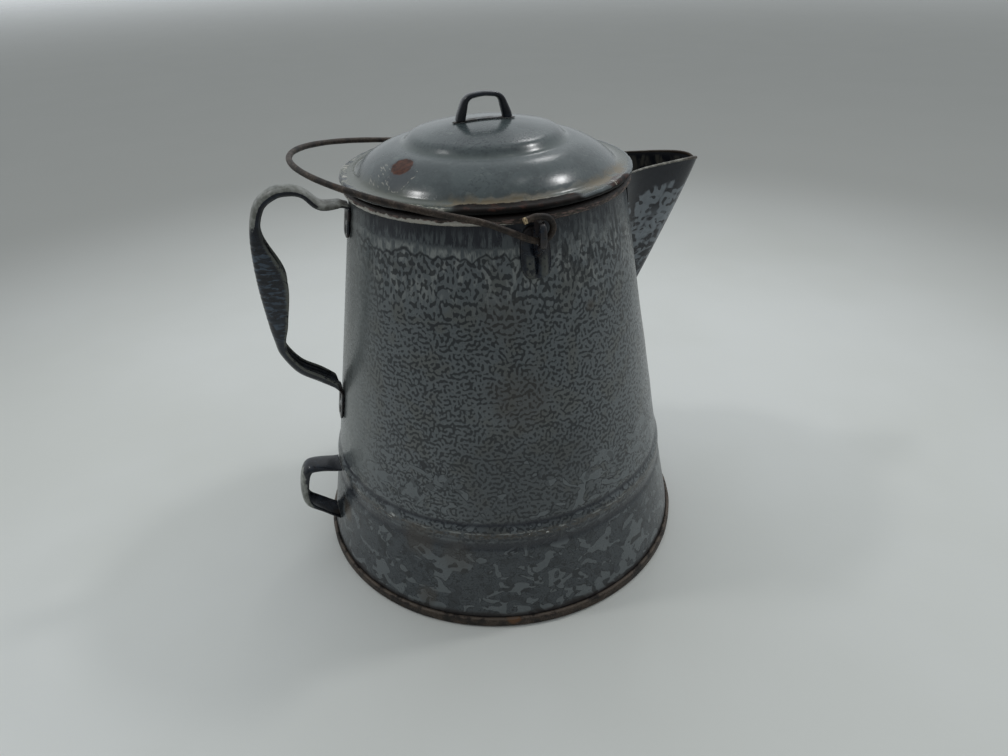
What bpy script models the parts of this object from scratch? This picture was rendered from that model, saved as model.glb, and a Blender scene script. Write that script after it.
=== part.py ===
# Enamelled coffee boiler: cone body with a rolled rim, V lip, bail, back handle,
# tipping handle and lift-off lid. Metres, +Z up, lip toward +X, standing on z = 0.
import math

import bmesh
import bpy
from mathutils import Vector

for thing in list(bpy.data.objects):
    bpy.data.objects.remove(thing, do_unlink=True)

parts = bpy.data.collections.new("coffee_boiler")
cutters = bpy.data.collections.new("cutters")
for group in (parts, cutters):
    bpy.context.scene.collection.children.link(group)

# Sheet, clearances and facets
sheet = 0.0009
lid_sheet = 0.0008
strap = 0.0018
gap = 0.0003
overrun = 0.004
weld_distance = 0.000001
turn_steps = 48

# Body wall: a straight cone between the rim and the bead, then the skirt; outside radii
rim_height = 0.2426
rim_radius = 0.0794
bead_top = 0.0715
bead_radius = 0.1102
bead_bottom = 0.0530
bead_rise = 0.0010
bead_shares = [(1.0, 0.0), (0.94, -0.3), (0.78, 0.7), (0.65, 1.0), (0.49, 0.8), (0.27, 0.35),
               (0.09, -0.2), (0.0, 0.3)]
skirt_top_radius = 0.1137
skirt_radius = 0.1228

# Rolled rim round its wire
rim_wire_radius = 0.0012
rim_roll_end = math.radians(-95)

# Bottom pan: a rolled seam round the skirt's edge and a raised floor
seam_over_skirt = 0.0028
seam_height = 0.0064
seam_corner = 0.0016
floor_height = 0.0040

# Strainer holes in the wall behind the lip, widest row on top
strainer_radius = 0.0019
strainer_pitch = 0.0075
strainer_row_rise = 0.0115
strainer_drop = 0.0186
strainer_rows = (5, 4, 3, 2, 1)

# Lid: crown, step, dome, rolled edge, and the collar below it
crown_radius = 0.0420
crown_rise = 0.0054
step_run = 0.0050
step_drop = 0.0049
dome_radius = 0.0780
dome_drop = 0.0125
dome_power = 1.88
lid_edge_drop = 0.0012
lid_roll_radius = 0.0016
lid_radius = 0.0841
lid_roll_end = math.radians(-150)
collar_fit = 0.0009
collar_depth = 0.0120

# Knob: a loop whose legs stand on a thin strip
knob_leg_spacing = 0.0272
knob_rise = 0.0134
knob_corner = 0.0080
knob_leg_thickness = 0.0060
knob_top_thickness = 0.0030
knob_width = 0.0060
knob_sides = 10
strip_length = 0.0400
strip_width = 0.0050
strip_thickness = 0.0012

# Lip: its keel runs straight from the wall to the tip
lip_reach = 0.1410
lip_tip_drop = 0.0053
lip_height = 0.0893
lip_half_width = 0.0228
lip_flare = 0.0100
lip_rise = 0.0045
lip_inset = 0.0080
lip_width_power = 0.8
lip_flare_power = 13
lip_root_share = 0.05
lip_rows = 12
lip_columns = 8

# Back handle: outer line as shares of its reach off the wall and of its rise above the lower foot
handle_reach = 0.0538
handle_crest_over_rim = 0.0072
upper_foot_drop = 0.0096
upper_foot_length = 0.0155
lower_foot_share = 0.266
lower_foot_length = 0.0190
handle_bend = 0.0036
handle_width = 0.0155
handle_depth = 0.0159
foot_width = 0.0140
section_power = 2.4
section_points = 9
# Each row: reach share, rise share, width share, depth share
handle_shares = [
    (0.10, 0.912, 0.86, 0.04), (0.255, 0.922, 0.82, 0.06), (0.40, 0.970, 0.72, 0.14),
    (0.60, 1.000, 0.66, 0.20), (0.78, 0.990, 0.66, 0.22), (0.94, 0.930, 0.70, 0.22),
    (1.00, 0.805, 0.84, 0.36), (0.955, 0.615, 0.99, 1.00), (0.845, 0.410, 0.97, 0.76),
    (0.775, 0.315, 0.92, 0.38), (0.715, 0.250, 0.87, 0.20), (0.54, 0.150, 0.84, 0.16),
    (0.255, 0.071, 0.87, 0.12),
]

# Rivets through the feet of the back handle
rivet_head_radius = 0.0033
rivet_head_rise = 0.0012
rivet_shank_radius = 0.0018
rivet_tail_radius = 0.0030
rivet_tail_rise = 0.0012
rivet_place_shares = (0.27, 0.76)
rivet_steps = 12

# Tipping handle: a shallow channel, its outer line as shares of its reach and of its height
tipping_reach = 0.0274
tipping_bottom = 0.0190
tipping_top = 0.0660
tipping_width = 0.0180
tipping_depth = 0.0040
# Each row: reach share, rise share, width share, depth share
tipping_shares = [
    (-0.12, 0.86, 1.0, 0.05), (0.25, 0.94, 0.94, 0.30), (0.58, 0.99, 0.86, 0.75),
    (0.82, 0.98, 0.82, 1.00), (0.945, 0.87, 0.80, 1.00), (0.975, 0.70, 0.80, 1.00),
    (0.975, 0.53, 0.80, 1.00), (0.93, 0.37, 0.82, 1.00), (0.80, 0.24, 0.86, 0.90),
    (0.52, 0.13, 0.94, 0.40), (0.21, 0.04, 1.0, 0.10), (-0.12, -0.035, 1.0, 0.05),
]

# Bail and its ears
pivot_drop = 0.0026
bail_half_span = 0.0910
bail_wire_radius = 0.0019
bail_reach = 0.1100
bail_half_width = 0.0925
bail_power = 1.6
bail_tilt = math.radians(12)
hook_radius = 0.0068
hook_start = math.radians(-45)
hook_end = math.radians(-320)
hook_points = 17
arm_shares = [(0.48, -0.17), (0.70, -0.05)]
arm_length = 0.0160
arch_points = 37
ear_width = 0.0160
ear_length = 0.0270
ear_plate = 0.0012
ear_drop = 0.0042
leaf_width_share = 0.77
leaf_points = 20
fin_thickness = 0.0030
fin_top_over_pivot = 0.0035
fin_inner = 0.0848
eye_clearance = 0.0008
eye_rim = 0.0020

# Heights and places that follow from the sizes above
roll_radius = rim_wire_radius + gap
rim_roll_radius = rim_radius + roll_radius
rim_top = rim_height + roll_radius + sheet
seam_radius = skirt_radius + seam_over_skirt
strainer_top = rim_height - strainer_drop
lip_tip_height = rim_height - lip_tip_drop
lip_root_height = lip_tip_height - lip_height
lower_foot_top = bead_top + (rim_height - bead_top) * lower_foot_share
pivot_height = rim_height - pivot_drop
collar_top = rim_top + gap + lid_sheet
lid_roll_height = collar_top + gap + lid_roll_radius
lid_roll_centre = lid_radius - lid_roll_radius
dome_edge_height = lid_roll_height + lid_roll_radius + lid_edge_drop
dome_top_height = dome_edge_height + dome_drop
crown_edge_height = dome_top_height + step_drop
lid_top = crown_edge_height + crown_rise
crown_sphere = (crown_radius ** 2 + crown_rise ** 2) / (2 * crown_rise)
wall_slope = math.atan2(bead_radius - rim_radius, rim_height - bead_top)
eye_radius = bail_wire_radius + eye_clearance
eye_height = pivot_height - hook_radius


# Outside radius of the straight wall, carried on above and below it
def wall(z):
    return rim_radius + (rim_height - z) * math.tan(wall_slope)


# Points on a circle from one angle to another
def arc(centre_r, centre_z, radius, start, end, count):
    angles = [start + (end - start) * i / (count - 1) for i in range(count)]
    return [(centre_r + radius * math.cos(a), centre_z + radius * math.sin(a)) for a in angles]


# Points on a smooth curve through the given ones, whatever their number of coordinates
def smooth_line(points, steps):
    ends = [points[0]] + list(points) + [points[-1]]
    line = []
    for a, b, c, d in zip(ends, ends[1:], ends[2:], ends[3:]):
        for i in range(steps):
            t = i / steps
            line.append(tuple(
                0.5 * (2 * q + (r - p) * t + (2 * p - 5 * q + 4 * r - s) * t ** 2
                       + (3 * q - p - 3 * r + s) * t ** 3)
                for p, q, r, s in zip(a, b, c, d)))
    line.append(tuple(points[-1]))
    return line


# Unit directions along a line of (r, z) points
def directions(line):
    result = []
    for before, after in zip([line[0]] + line[:-1], line[1:] + [line[-1]]):
        result.append(Vector((after[0] - before[0], after[1] - before[1])).normalized())
    return result


# The line moved sideways by a distance, to the left of its direction
def offset_line(line, distance):
    moved = []
    for (r, z), along in zip(line, directions(line)):
        moved.append((r - along.y * distance, z + along.x * distance))
    return moved


def add_object(name, data, group):
    thing = bpy.data.objects.new(name, data)
    group.objects.link(thing)
    if group is cutters:
        thing.hide_render = True
        thing.display_type = "WIRE"
    return thing


def paint(thing, colour, roughness, metallic):
    material = bpy.data.materials.new(thing.name)
    material.use_nodes = True
    shader = material.node_tree.nodes["Principled BSDF"]
    shader.inputs["Base Color"].default_value = (*colour, 1.0)
    shader.inputs["Roughness"].default_value = roughness
    shader.inputs["Metallic"].default_value = metallic
    thing.data.materials.append(material)


def smooth(thing, sharp_degrees):
    thing.data.shade_smooth()
    thing.data.set_sharp_from_angle(angle=math.radians(sharp_degrees))


# A profile of (r, z) points turned about Z; with a thickness it is a shell
def turned(name, profile, group, thickness=0.0, steps=turn_steps):
    mesh = bpy.data.meshes.new(name)
    edges = [(i, i + 1) for i in range(len(profile) - 1)]
    mesh.from_pydata([(r, 0.0, z) for r, z in profile], edges, [])
    thing = add_object(name, mesh, group)
    screw = thing.modifiers.new("turn", "SCREW")
    screw.steps = steps
    screw.render_steps = steps
    screw.use_merge_vertices = True
    screw.merge_threshold = weld_distance
    if thickness:
        solid = thing.modifiers.new("thickness", "SOLIDIFY")
        solid.thickness = thickness
        solid.offset = -1.0
        solid.use_even_offset = True
    return thing


# A closed solid through rings of equal length, flat across both ends
def lofted(name, rings, group):
    form = bmesh.new()
    rows = [[form.verts.new(point) for point in ring] for ring in rings]
    for row, following in zip(rows, rows[1:]):
        for i in range(len(row)):
            j = (i + 1) % len(row)
            form.faces.new((row[i], row[j], following[j], following[i]))
    form.faces.new(list(reversed(rows[0])))
    form.faces.new(rows[-1])
    bmesh.ops.recalc_face_normals(form, faces=form.faces)
    mesh = bpy.data.meshes.new(name)
    form.to_mesh(mesh)
    form.free()
    return add_object(name, mesh, group)


# A flat outline in (x, z), with any holes, made a mesh of the given thickness along Y
def flat_piece(name, outlines, thickness, group):
    curve = bpy.data.curves.new(name, "CURVE")
    curve.dimensions = "2D"
    curve.fill_mode = "BOTH"
    curve.extrude = thickness / 2
    for outline in outlines:
        spline = curve.splines.new("POLY")
        spline.points.add(len(outline) - 1)
        for point, (x, z) in zip(spline.points, outline):
            point.co = (x, z, 0.0, 1.0)
        spline.use_cyclic_u = True
    thing = as_mesh(add_object(name, curve, group), group)
    for vertex in thing.data.vertices:
        x, z, y = vertex.co
        vertex.co = (x, -y, z)
    return thing


# The evaluated curve as a mesh with its caps welded, under the same name
def as_mesh(thing, group):
    name = thing.name
    bpy.context.view_layer.update()
    ready = thing.evaluated_get(bpy.context.evaluated_depsgraph_get())
    mesh = bpy.data.meshes.new_from_object(ready)
    form = bmesh.new()
    form.from_mesh(mesh)
    bmesh.ops.remove_doubles(form, verts=form.verts, dist=weld_distance)
    form.to_mesh(mesh)
    form.free()
    place = thing.matrix_world.copy()
    bpy.data.objects.remove(thing, do_unlink=True)
    made = add_object(name, mesh, group)
    made.matrix_world = place
    return made


def combine(thing, other, operation):
    boolean = thing.modifiers.new(other.name, "BOOLEAN")
    boolean.operation = operation
    boolean.solver = "EXACT"
    boolean.object = other


# Cylinders with their middles at the given places, along the given directions
def hole_cutter(name, places, radius, length, sides):
    form = bmesh.new()
    for place, along in places:
        made = bmesh.ops.create_cone(form, cap_ends=True, segments=sides, radius1=radius,
                                     radius2=radius, depth=length)
        bmesh.ops.rotate(form, verts=made["verts"], cent=(0.0, 0.0, 0.0),
                         matrix=along.to_track_quat("Z", "Y").to_matrix())
        bmesh.ops.translate(form, verts=made["verts"], vec=place)
    mesh = bpy.data.meshes.new(name)
    form.to_mesh(mesh)
    form.free()
    return add_object(name, mesh, cutters)


# A point on the outside of the wall, and the direction out of it
def wall_place(azimuth, z):
    out = Vector((math.cos(azimuth), math.sin(azimuth), 0.0))
    normal = out * math.cos(wall_slope) + Vector((0.0, 0.0, math.sin(wall_slope)))
    return out * wall(z) + Vector((0.0, 0.0, z)), normal


# The bead's outline, from its upper edge down
def bead_profile():
    points = []
    for height_share, rise_share in bead_shares:
        base = skirt_top_radius + (bead_radius - skirt_top_radius) * height_share
        z = bead_bottom + (bead_top - bead_bottom) * height_share
        points.append((base + bead_rise * rise_share, z))
    return points


def rivet_heights():
    upper_top = rim_height - upper_foot_drop
    upper = [upper_top - upper_foot_length * share for share in rivet_place_shares]
    lower = [lower_foot_top - lower_foot_length * share for share in rivet_place_shares]
    return upper + lower


def rivet_hole_cutter():
    places = [wall_place(math.pi, z) for z in rivet_heights()]
    return hole_cutter("rivet_holes", places, rivet_shank_radius + gap,
                       2 * (strap + gap + overrun), rivet_steps)


def strainer_cutter():
    places = []
    for row, count in enumerate(strainer_rows):
        z = strainer_top - strainer_row_rise * row
        for i in range(count):
            azimuth = (i - (count - 1) / 2) * strainer_pitch / wall(z)
            places.append(wall_place(azimuth, z))
    return hole_cutter("strainer_holes", places, strainer_radius, 2 * (sheet + overrun), 10)


# What the body's outside takes up, a gap larger: it trims the lip and the tipping handle
def clearance_cutter():
    roll_outside = roll_radius + sheet + gap
    profile = [(0.0, rim_top + 2 * overrun), (rim_roll_radius + roll_outside, rim_top + 2 * overrun)]
    profile += arc(rim_roll_radius, rim_height, roll_outside, 0.0, -math.pi / 2, 6)
    profile += [(wall(rim_height - roll_outside) + gap, rim_height - roll_outside)]
    profile += [(r + gap, z) for r, z in bead_profile()]
    profile += [(skirt_radius + gap, seam_height + seam_corner), (0.0, seam_height + seam_corner)]
    return turned("body_clearance", profile, cutters)


def make_body():
    profile = arc(rim_roll_radius, rim_height, roll_radius, rim_roll_end, math.pi, 11)
    profile += bead_profile()
    profile += [(skirt_radius, seam_height + seam_corner), (skirt_radius, seam_corner)]
    body = turned("body_shell", profile, parts, sheet)
    combine(body, rivet_holes, "DIFFERENCE")
    combine(body, strainer_cutter(), "DIFFERENCE")
    paint(body, (0.105, 0.115, 0.145), 0.32, 0.0)


def make_rim_wire():
    bpy.ops.mesh.primitive_torus_add(
        major_radius=rim_roll_radius, minor_radius=rim_wire_radius,
        major_segments=turn_steps, minor_segments=6, location=(0.0, 0.0, rim_height))
    wire = bpy.context.object
    wire.name = "rim_wire"
    for group in list(wire.users_collection):
        group.objects.unlink(wire)
    parts.objects.link(wire)
    smooth(wire, 60)
    paint(wire, (0.16, 0.09, 0.05), 0.7, 0.6)


def make_bottom_pan():
    outer = seam_radius - seam_corner
    inner = skirt_radius - sheet - gap - sheet
    roll_end = math.acos((skirt_radius + gap - outer) / seam_corner)
    profile = arc(outer, seam_height - seam_corner, seam_corner, roll_end, 0.0, 5)
    profile += arc(outer, seam_corner, seam_corner, 0.0, -math.pi / 2, 4)
    profile += arc(inner + seam_corner, seam_corner, seam_corner, -math.pi / 2, -math.pi, 4)
    profile += arc(inner - seam_corner, floor_height - seam_corner, seam_corner, 0.0, math.pi / 2, 3)
    profile += [(0.0, floor_height)]
    pan = turned("bottom_pan", profile, parts, sheet)
    paint(pan, (0.17, 0.10, 0.065), 0.6, 0.5)


def make_lid_shell():
    crown = math.asin(crown_radius / crown_sphere)
    profile = arc(0.0, lid_top - crown_sphere, crown_sphere, math.pi / 2, math.pi / 2 - crown, 5)
    dome_start = crown_radius + step_run
    for share in (0.0, 0.25, 0.5, 0.75, 1.0):
        r = dome_start + (dome_radius - dome_start) * share
        profile.append((r, dome_top_height - dome_drop * share ** dome_power))
    profile += arc(lid_roll_centre, lid_roll_height, lid_roll_radius, math.pi / 2, lid_roll_end, 9)
    lid = turned("lid_shell", profile, parts, lid_sheet)
    paint(lid, (0.16, 0.18, 0.22), 0.25, 0.0)


def make_lid_collar():
    radius = rim_radius - sheet - collar_fit
    low = rim_top - collar_depth
    profile = [(radius - lid_sheet, collar_top), (lid_roll_centre, collar_top)]
    profile += [(lid_roll_centre, collar_top - lid_sheet), (radius, collar_top - lid_sheet)]
    profile += [(radius, low), (radius - lid_sheet, low), (radius - lid_sheet, collar_top)]
    collar = turned("lid_collar", profile, parts)
    paint(collar, (0.12, 0.13, 0.16), 0.4, 0.0)


# Height of the lid's crown at a distance from the axis
def crown_height(x):
    return lid_top - crown_sphere + math.sqrt(crown_sphere ** 2 - x ** 2)


def make_knob_strip():
    count = 11
    places = [strip_length * (i / (count - 1) - 0.5) for i in range(count)]
    lower = [(x, crown_height(x) + gap) for x in places]
    upper = [(x, z + strip_thickness) for x, z in reversed(lower)]
    strip = flat_piece("lid_knob_plate", [lower + upper], strip_width, parts)
    paint(strip, (0.02, 0.022, 0.03), 0.4, 0.0)


def make_knob():
    leg = knob_leg_spacing / 2
    foot = crown_height(leg - knob_leg_thickness / 2) + 2 * gap + strip_thickness
    top = lid_top + knob_rise + gap + strip_thickness - knob_top_thickness / 2
    corner = arc(leg - knob_corner, top - knob_corner, knob_corner, 0.0, math.pi / 2, 6)
    half = [(leg, foot), (leg, (foot + top - knob_corner) / 2)] + corner
    line = half + [(0.0, top)] + [(-x, z) for x, z in reversed(half)]
    rings = []
    for (x, z), along in zip(line, directions(line)):
        share = min(1.0, (z - foot) / (top - foot))
        thickness = knob_leg_thickness + (knob_top_thickness - knob_leg_thickness) * share ** 2
        if z == foot:
            along = Vector((0.0, math.copysign(1.0, x)))
        ring = []
        for i in range(knob_sides):
            turn = 2 * math.pi * i / knob_sides
            side = thickness / 2 * math.cos(turn)
            across = knob_width / 2 * math.sin(turn)
            ring.append((x - along.y * side, across, z + along.x * side))
        rings.append(ring)
    knob = lofted("lid_knob", rings, parts)
    smooth(knob, 50)
    paint(knob, (0.02, 0.022, 0.03), 0.3, 0.0)


# Lip: each row is a nose, x = base + (keel - base)(1 - t^2), whose edges flare at the wall
def make_spout():
    form = bmesh.new()
    rows = []
    root_reach = wall(lip_root_height)
    for j in range(lip_rows + 1):
        share = -lip_root_share / 2 + (1 + lip_root_share / 2) * j / lip_rows
        width_share = ((share + lip_root_share) / (1 + lip_root_share)) ** lip_width_power
        keel_z = lip_root_height + (lip_tip_height - lip_root_height) * share
        keel_x = root_reach + (lip_reach - root_reach) * share - sheet
        base_x = wall(keel_z) - lip_inset
        row = []
        for i in range(-lip_columns, lip_columns + 1):
            t = i / lip_columns
            x = base_x + (keel_x - base_x) * (1 - t ** 2)
            y = width_share * (lip_half_width * t + lip_flare * t ** lip_flare_power)
            z = keel_z + lip_rise * max(0.0, share) ** 2 * abs(t) ** 1.2
            row.append(form.verts.new((x, y, z)))
        rows.append(row)
    for row, following in zip(rows, rows[1:]):
        for i in range(len(row) - 1):
            form.faces.new((row[i], row[i + 1], following[i + 1], following[i]))
    mesh = bpy.data.meshes.new("spout")
    form.to_mesh(mesh)
    form.free()
    spout = add_object("spout", mesh, parts)
    smooth(spout, 50)
    solid = spout.modifiers.new("thickness", "SOLIDIFY")
    solid.thickness = sheet
    solid.offset = 1.0
    combine(spout, body_clearance, "DIFFERENCE")
    paint(spout, (0.04, 0.045, 0.06), 0.35, 0.0)


# Section of a strap bent into a channel: half a superellipse and the same line a strap further in
def channel_section(width, depth):
    outer = []
    for i in range(section_points):
        turn = math.pi * (i / (section_points - 1) - 0.5)
        side = math.copysign(abs(math.sin(turn)) ** (2 / section_power), turn) * width / 2
        outer.append((side, depth * (1 - abs(math.cos(turn)) ** (2 / section_power))))
    return outer + list(reversed(offset_line(outer, strap)))


# Outer line of the back handle as (r, z, width, depth), from the upper foot to the lower one
def handle_line():
    upper_top = rim_height - upper_foot_drop
    crest = rim_height + handle_crest_over_rim
    line = []
    for z in (upper_top - upper_foot_length, upper_top - upper_foot_length / 2, upper_top):
        line.append((wall(z) + gap, z, foot_width, 0.0))
    for reach, rise, width, depth in smooth_line(handle_shares, 2):
        z = lower_foot_top + (crest - lower_foot_top) * rise
        line.append((wall(z) + handle_reach * reach, z, handle_width * width, handle_depth * depth))
    bend_r = wall(lower_foot_top) + gap + strap + handle_bend
    for r, z in arc(bend_r, lower_foot_top, handle_bend, 3 * math.pi / 4, math.pi, 3):
        line.append((r, z, foot_width, 0.0))
    for share in (0.5, 1.0):
        z = lower_foot_top - lower_foot_length * share
        line.append((wall(z) + gap + strap, z, foot_width, 0.0))
    return line


# A bent strap through lines of (r, z, width, depth), on the side away from the lip
def strap_handle(name, line):
    rings = []
    for (r, z, width, depth), along in zip(line, directions([point[:2] for point in line])):
        back = Vector((-along.y, along.x))
        rings.append([(-(r - back.x * inward), side, z - back.y * inward)
                      for side, inward in channel_section(width, depth)])
    handle = lofted(name, rings, parts)
    smooth(handle, 45)
    paint(handle, (0.018, 0.02, 0.028), 0.3, 0.0)
    return handle


def make_main_handle():
    combine(strap_handle("main_handle", handle_line()), rivet_holes, "DIFFERENCE")


# Rivet along the wall's normal: domed head outside the strap, flat tail inside the wall
def make_rivets():
    head = strap + 2 * gap
    profile = [(0.0, head + rivet_head_rise)]
    for i in (1, 2, 3):
        turn = math.pi / 2 * (1 - i / 3)
        profile.append((rivet_head_radius * math.cos(turn), head + rivet_head_rise * math.sin(turn)))
    profile += [(rivet_shank_radius, head), (rivet_shank_radius, -sheet - gap)]
    profile += [(rivet_tail_radius, -sheet - gap), (rivet_tail_radius, -sheet - gap - rivet_tail_rise)]
    profile += [(0.0, -sheet - gap - rivet_tail_rise)]
    names = ("rivet_upper_high", "rivet_upper_low", "rivet_lower_high", "rivet_lower_low")
    for name, z in zip(names, rivet_heights()):
        rivet = turned(name, profile, parts, steps=rivet_steps)
        place, normal = wall_place(math.pi, z)
        rivet.location = place
        rivet.rotation_euler = normal.to_track_quat("Z", "Y").to_euler()
        paint(rivet, (0.02, 0.022, 0.03), 0.35, 0.0)


# Its ends run into the wall and are cut off flush
def make_tipping_handle():
    line = []
    for reach, rise, width, depth in smooth_line(tipping_shares, 2):
        z = tipping_bottom + (tipping_top - tipping_bottom) * rise
        line.append((wall(z) + tipping_reach * reach, z, tipping_width * width, tipping_depth * depth))
    combine(strap_handle("tipping_handle", line), body_clearance, "DIFFERENCE")


# Ear: a leaf-shaped plate on the wall joined to an upright fin with the bail's eye
def make_ear(name, side):
    leaf = []
    for i in range(leaf_points):
        turn = 2 * math.pi * i / leaf_points
        half = math.sin(turn) * math.sin(turn / 2) / leaf_width_share
        leaf.append((ear_width / 2 * half, -ear_length / 2 * math.cos(turn)))
    ear = flat_piece(name, [leaf], ear_plate, parts)
    top = rim_height - ear_drop
    middle = top - ear_length / 2 * math.cos(wall_slope)
    place, normal = wall_place(side * math.pi / 2, middle)
    ear.location = place + normal * (gap + ear_plate / 2)
    ear.rotation_euler = (wall_slope, 0.0, 0.0 if side > 0 else math.pi)

    eye_outside = eye_radius + eye_rim
    fin_top = pivot_height + fin_top_over_pivot
    low = top - ear_length
    seat = gap + ear_plate / 2
    outline = [(wall(low + ear_plate) + seat, low + ear_plate)]
    outline += arc(bail_half_span, eye_height, eye_outside, -math.pi / 3, 0.0, 4)
    outline += arc(bail_half_span, fin_top - eye_outside, eye_outside, 0.0, math.pi / 2, 4)
    outline += [(fin_inner, fin_top), (fin_inner, top), (wall(top - ear_plate) + seat, top - ear_plate)]
    eye = arc(bail_half_span, eye_height, eye_radius, 0.0, 2 * math.pi * 11 / 12, 12)
    fin = flat_piece(name + "_fin", [outline, eye], fin_thickness, cutters)
    fin.rotation_euler = (0.0, 0.0, side * math.pi / 2)
    combine(ear, fin, "UNION")
    smooth(ear, 40)
    paint(ear, (0.03, 0.033, 0.042), 0.4, 0.0)


# Bail: hook, short cranked arm and arch on each side, in the plane of the arch
def make_bail():
    side_line = []
    for i in range(hook_points):
        turn = hook_end + (hook_start - hook_end) * i / (hook_points - 1)
        side_line.append((hook_radius * math.cos(turn), bail_half_span, hook_radius * math.sin(turn)))
    for reach, rise in arm_shares:
        side_line.append((arm_length * reach, bail_half_span, arm_length * rise))
    first = math.asin((arm_length / bail_reach) ** (bail_power / 2))
    arch = []
    for i in range(arch_points):
        turn = first + (math.pi - 2 * first) * i / (arch_points - 1)
        reach = bail_reach * math.sin(turn) ** (2 / bail_power)
        arch.append((reach, bail_half_width * math.cos(turn), 0.0))
    line = side_line + arch + [(u, -y, v) for u, y, v in reversed(side_line)]
    curve = bpy.data.curves.new("bail", "CURVE")
    curve.dimensions = "3D"
    curve.bevel_depth = bail_wire_radius
    curve.bevel_resolution = 2
    curve.use_fill_caps = True
    spline = curve.splines.new("POLY")
    spline.points.add(len(line) - 1)
    for point, (u, y, v) in zip(spline.points, line):
        point.co = (-u, y, v, 1.0)
    bail = add_object("bail", curve, parts)
    bail.location = (0.0, 0.0, pivot_height)
    bail.rotation_euler = (0.0, bail_tilt, 0.0)
    paint(bail, (0.085, 0.055, 0.04), 0.65, 0.7)


rivet_holes = rivet_hole_cutter()
body_clearance = clearance_cutter()
make_body()
make_rim_wire()
make_bottom_pan()
make_spout()
make_main_handle()
make_rivets()
make_tipping_handle()
make_ear("bail_ear_front", -1)
make_ear("bail_ear_rear", 1)
make_bail()
make_lid_shell()
make_lid_collar()
make_knob_strip()
make_knob()
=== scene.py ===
import math

import bmesh
import bpy
import numpy as np
from mathutils import Matrix, Vector


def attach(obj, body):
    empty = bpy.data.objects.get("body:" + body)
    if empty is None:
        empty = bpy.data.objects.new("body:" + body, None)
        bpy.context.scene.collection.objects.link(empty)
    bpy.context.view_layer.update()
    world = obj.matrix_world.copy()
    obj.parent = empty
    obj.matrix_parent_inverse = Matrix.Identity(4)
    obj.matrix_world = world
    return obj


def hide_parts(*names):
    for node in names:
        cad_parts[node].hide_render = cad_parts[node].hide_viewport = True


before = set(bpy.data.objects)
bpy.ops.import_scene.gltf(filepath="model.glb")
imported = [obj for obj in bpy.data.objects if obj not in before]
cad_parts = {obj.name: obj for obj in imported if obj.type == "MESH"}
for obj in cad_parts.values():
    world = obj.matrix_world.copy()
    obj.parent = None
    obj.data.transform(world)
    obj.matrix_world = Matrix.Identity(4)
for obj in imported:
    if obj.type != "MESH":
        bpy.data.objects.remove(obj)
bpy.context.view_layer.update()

print("frame loaded with", len(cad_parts), "nodes")

# Lengths of the CAD part that several pieces share, in metres
sheet = 0.0009
lidSheet = 0.0008
strap = 0.0018
gap = 0.0003
rimHeight = 0.2426
rimRadius = 0.0794
rollRadius = 0.0015
rimRollRadius = rimRadius + rollRadius
beadTop = 0.0715
beadRadius = 0.1102
beadBottom = 0.0530
skirtTopRadius = 0.1137
skirtRadius = 0.1228
seamRadius = skirtRadius + 0.0028
seamHeight = 0.0064
seamCorner = 0.0016
pivotHeight = rimHeight - 0.0026
rimTop = rimHeight + rollRadius + sheet
collarTop = rimTop + gap + lidSheet
wallTangent = (beadRadius - rimRadius) / (rimHeight - beadTop)
wallSlope = math.atan(wallTangent)
upperFootDrop = 0.0096
upperFootLength = 0.0155
lowerFootTop = beadTop + (rimHeight - beadTop) * 0.266
lowerFootLength = 0.0190
rivetShares = (0.27, 0.76)
rivetHeights = [rimHeight - upperFootDrop - upperFootLength * share for share in rivetShares]
rivetHeights += [lowerFootTop - lowerFootLength * share for share in rivetShares]


# Outside radius of the cone: a straight line from the rim down
def wall(z):
    return rimRadius + (rimHeight - z) * wallTangent


# Points on a circle from one angle to another, as rows of (r, z)
def arc(centreR, centreZ, radius, start, end, count):
    turn = np.linspace(start, end, count)
    return np.stack([centreR + radius * np.cos(turn), centreZ + radius * np.sin(turn)], axis=1)


# Catmull-Rom curve through the given rows, whatever their number of columns
def smoothLine(points, steps):
    p = np.asarray(points, float)
    p = np.vstack([p[:1], p, p[-1:]])
    a, b, c, d = p[:-3, None], p[1:-2, None], p[2:-1, None], p[3:, None]
    t = (np.arange(steps) / steps)[None, :, None]
    line = 0.5 * (2 * b + (c - a) * t + (2 * a - 5 * b + 4 * c - d) * t ** 2
                  + (3 * b - a - 3 * c + d) * t ** 3)
    return np.vstack([line.reshape(-1, p.shape[1]), p[-1:]])


# Rows at even distances along a line; the distance is taken over its first few columns
def evenly(line, spacing, measured=2):
    along = np.r_[0.0, np.cumsum(np.linalg.norm(np.diff(line[:, :measured], axis=0), axis=1))]
    count = max(4, int(round(along[-1] / spacing)) + 1)
    places = np.linspace(0.0, along[-1], count)
    return np.stack([np.interp(places, along, column) for column in line.T], axis=1)


# The line with its corners rounded by a Gaussian of the given width; both ends stay
def softened(line, spacing, width, measured=2):
    even = evenly(line, spacing, measured)
    reach = int(math.ceil(3 * width / spacing))
    kernel = np.exp(-0.5 * (np.arange(-reach, reach + 1) * spacing / width) ** 2)
    kernel /= kernel.sum()
    before = 2 * even[:1] - even[reach:0:-1]
    after = 2 * even[-1:] - even[-2:-reach - 2:-1]
    padded = np.vstack([before, even, after])
    return np.stack([np.convolve(column, kernel, "valid") for column in padded.T], axis=1)


# Vectors scaled to length 1
def unit(vectors):
    return vectors / np.maximum(np.linalg.norm(vectors, axis=-1, keepdims=True), 1e-12)


# Unit directions along rows of (r, z)
def directions(line):
    return unit(np.gradient(line[:, :2], axis=0))


# The line moved sideways, to the left of its direction
def offsetLine(line, distance):
    along = directions(line)
    return line + np.stack([-along[:, 1], along[:, 0]], axis=1) * distance


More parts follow.
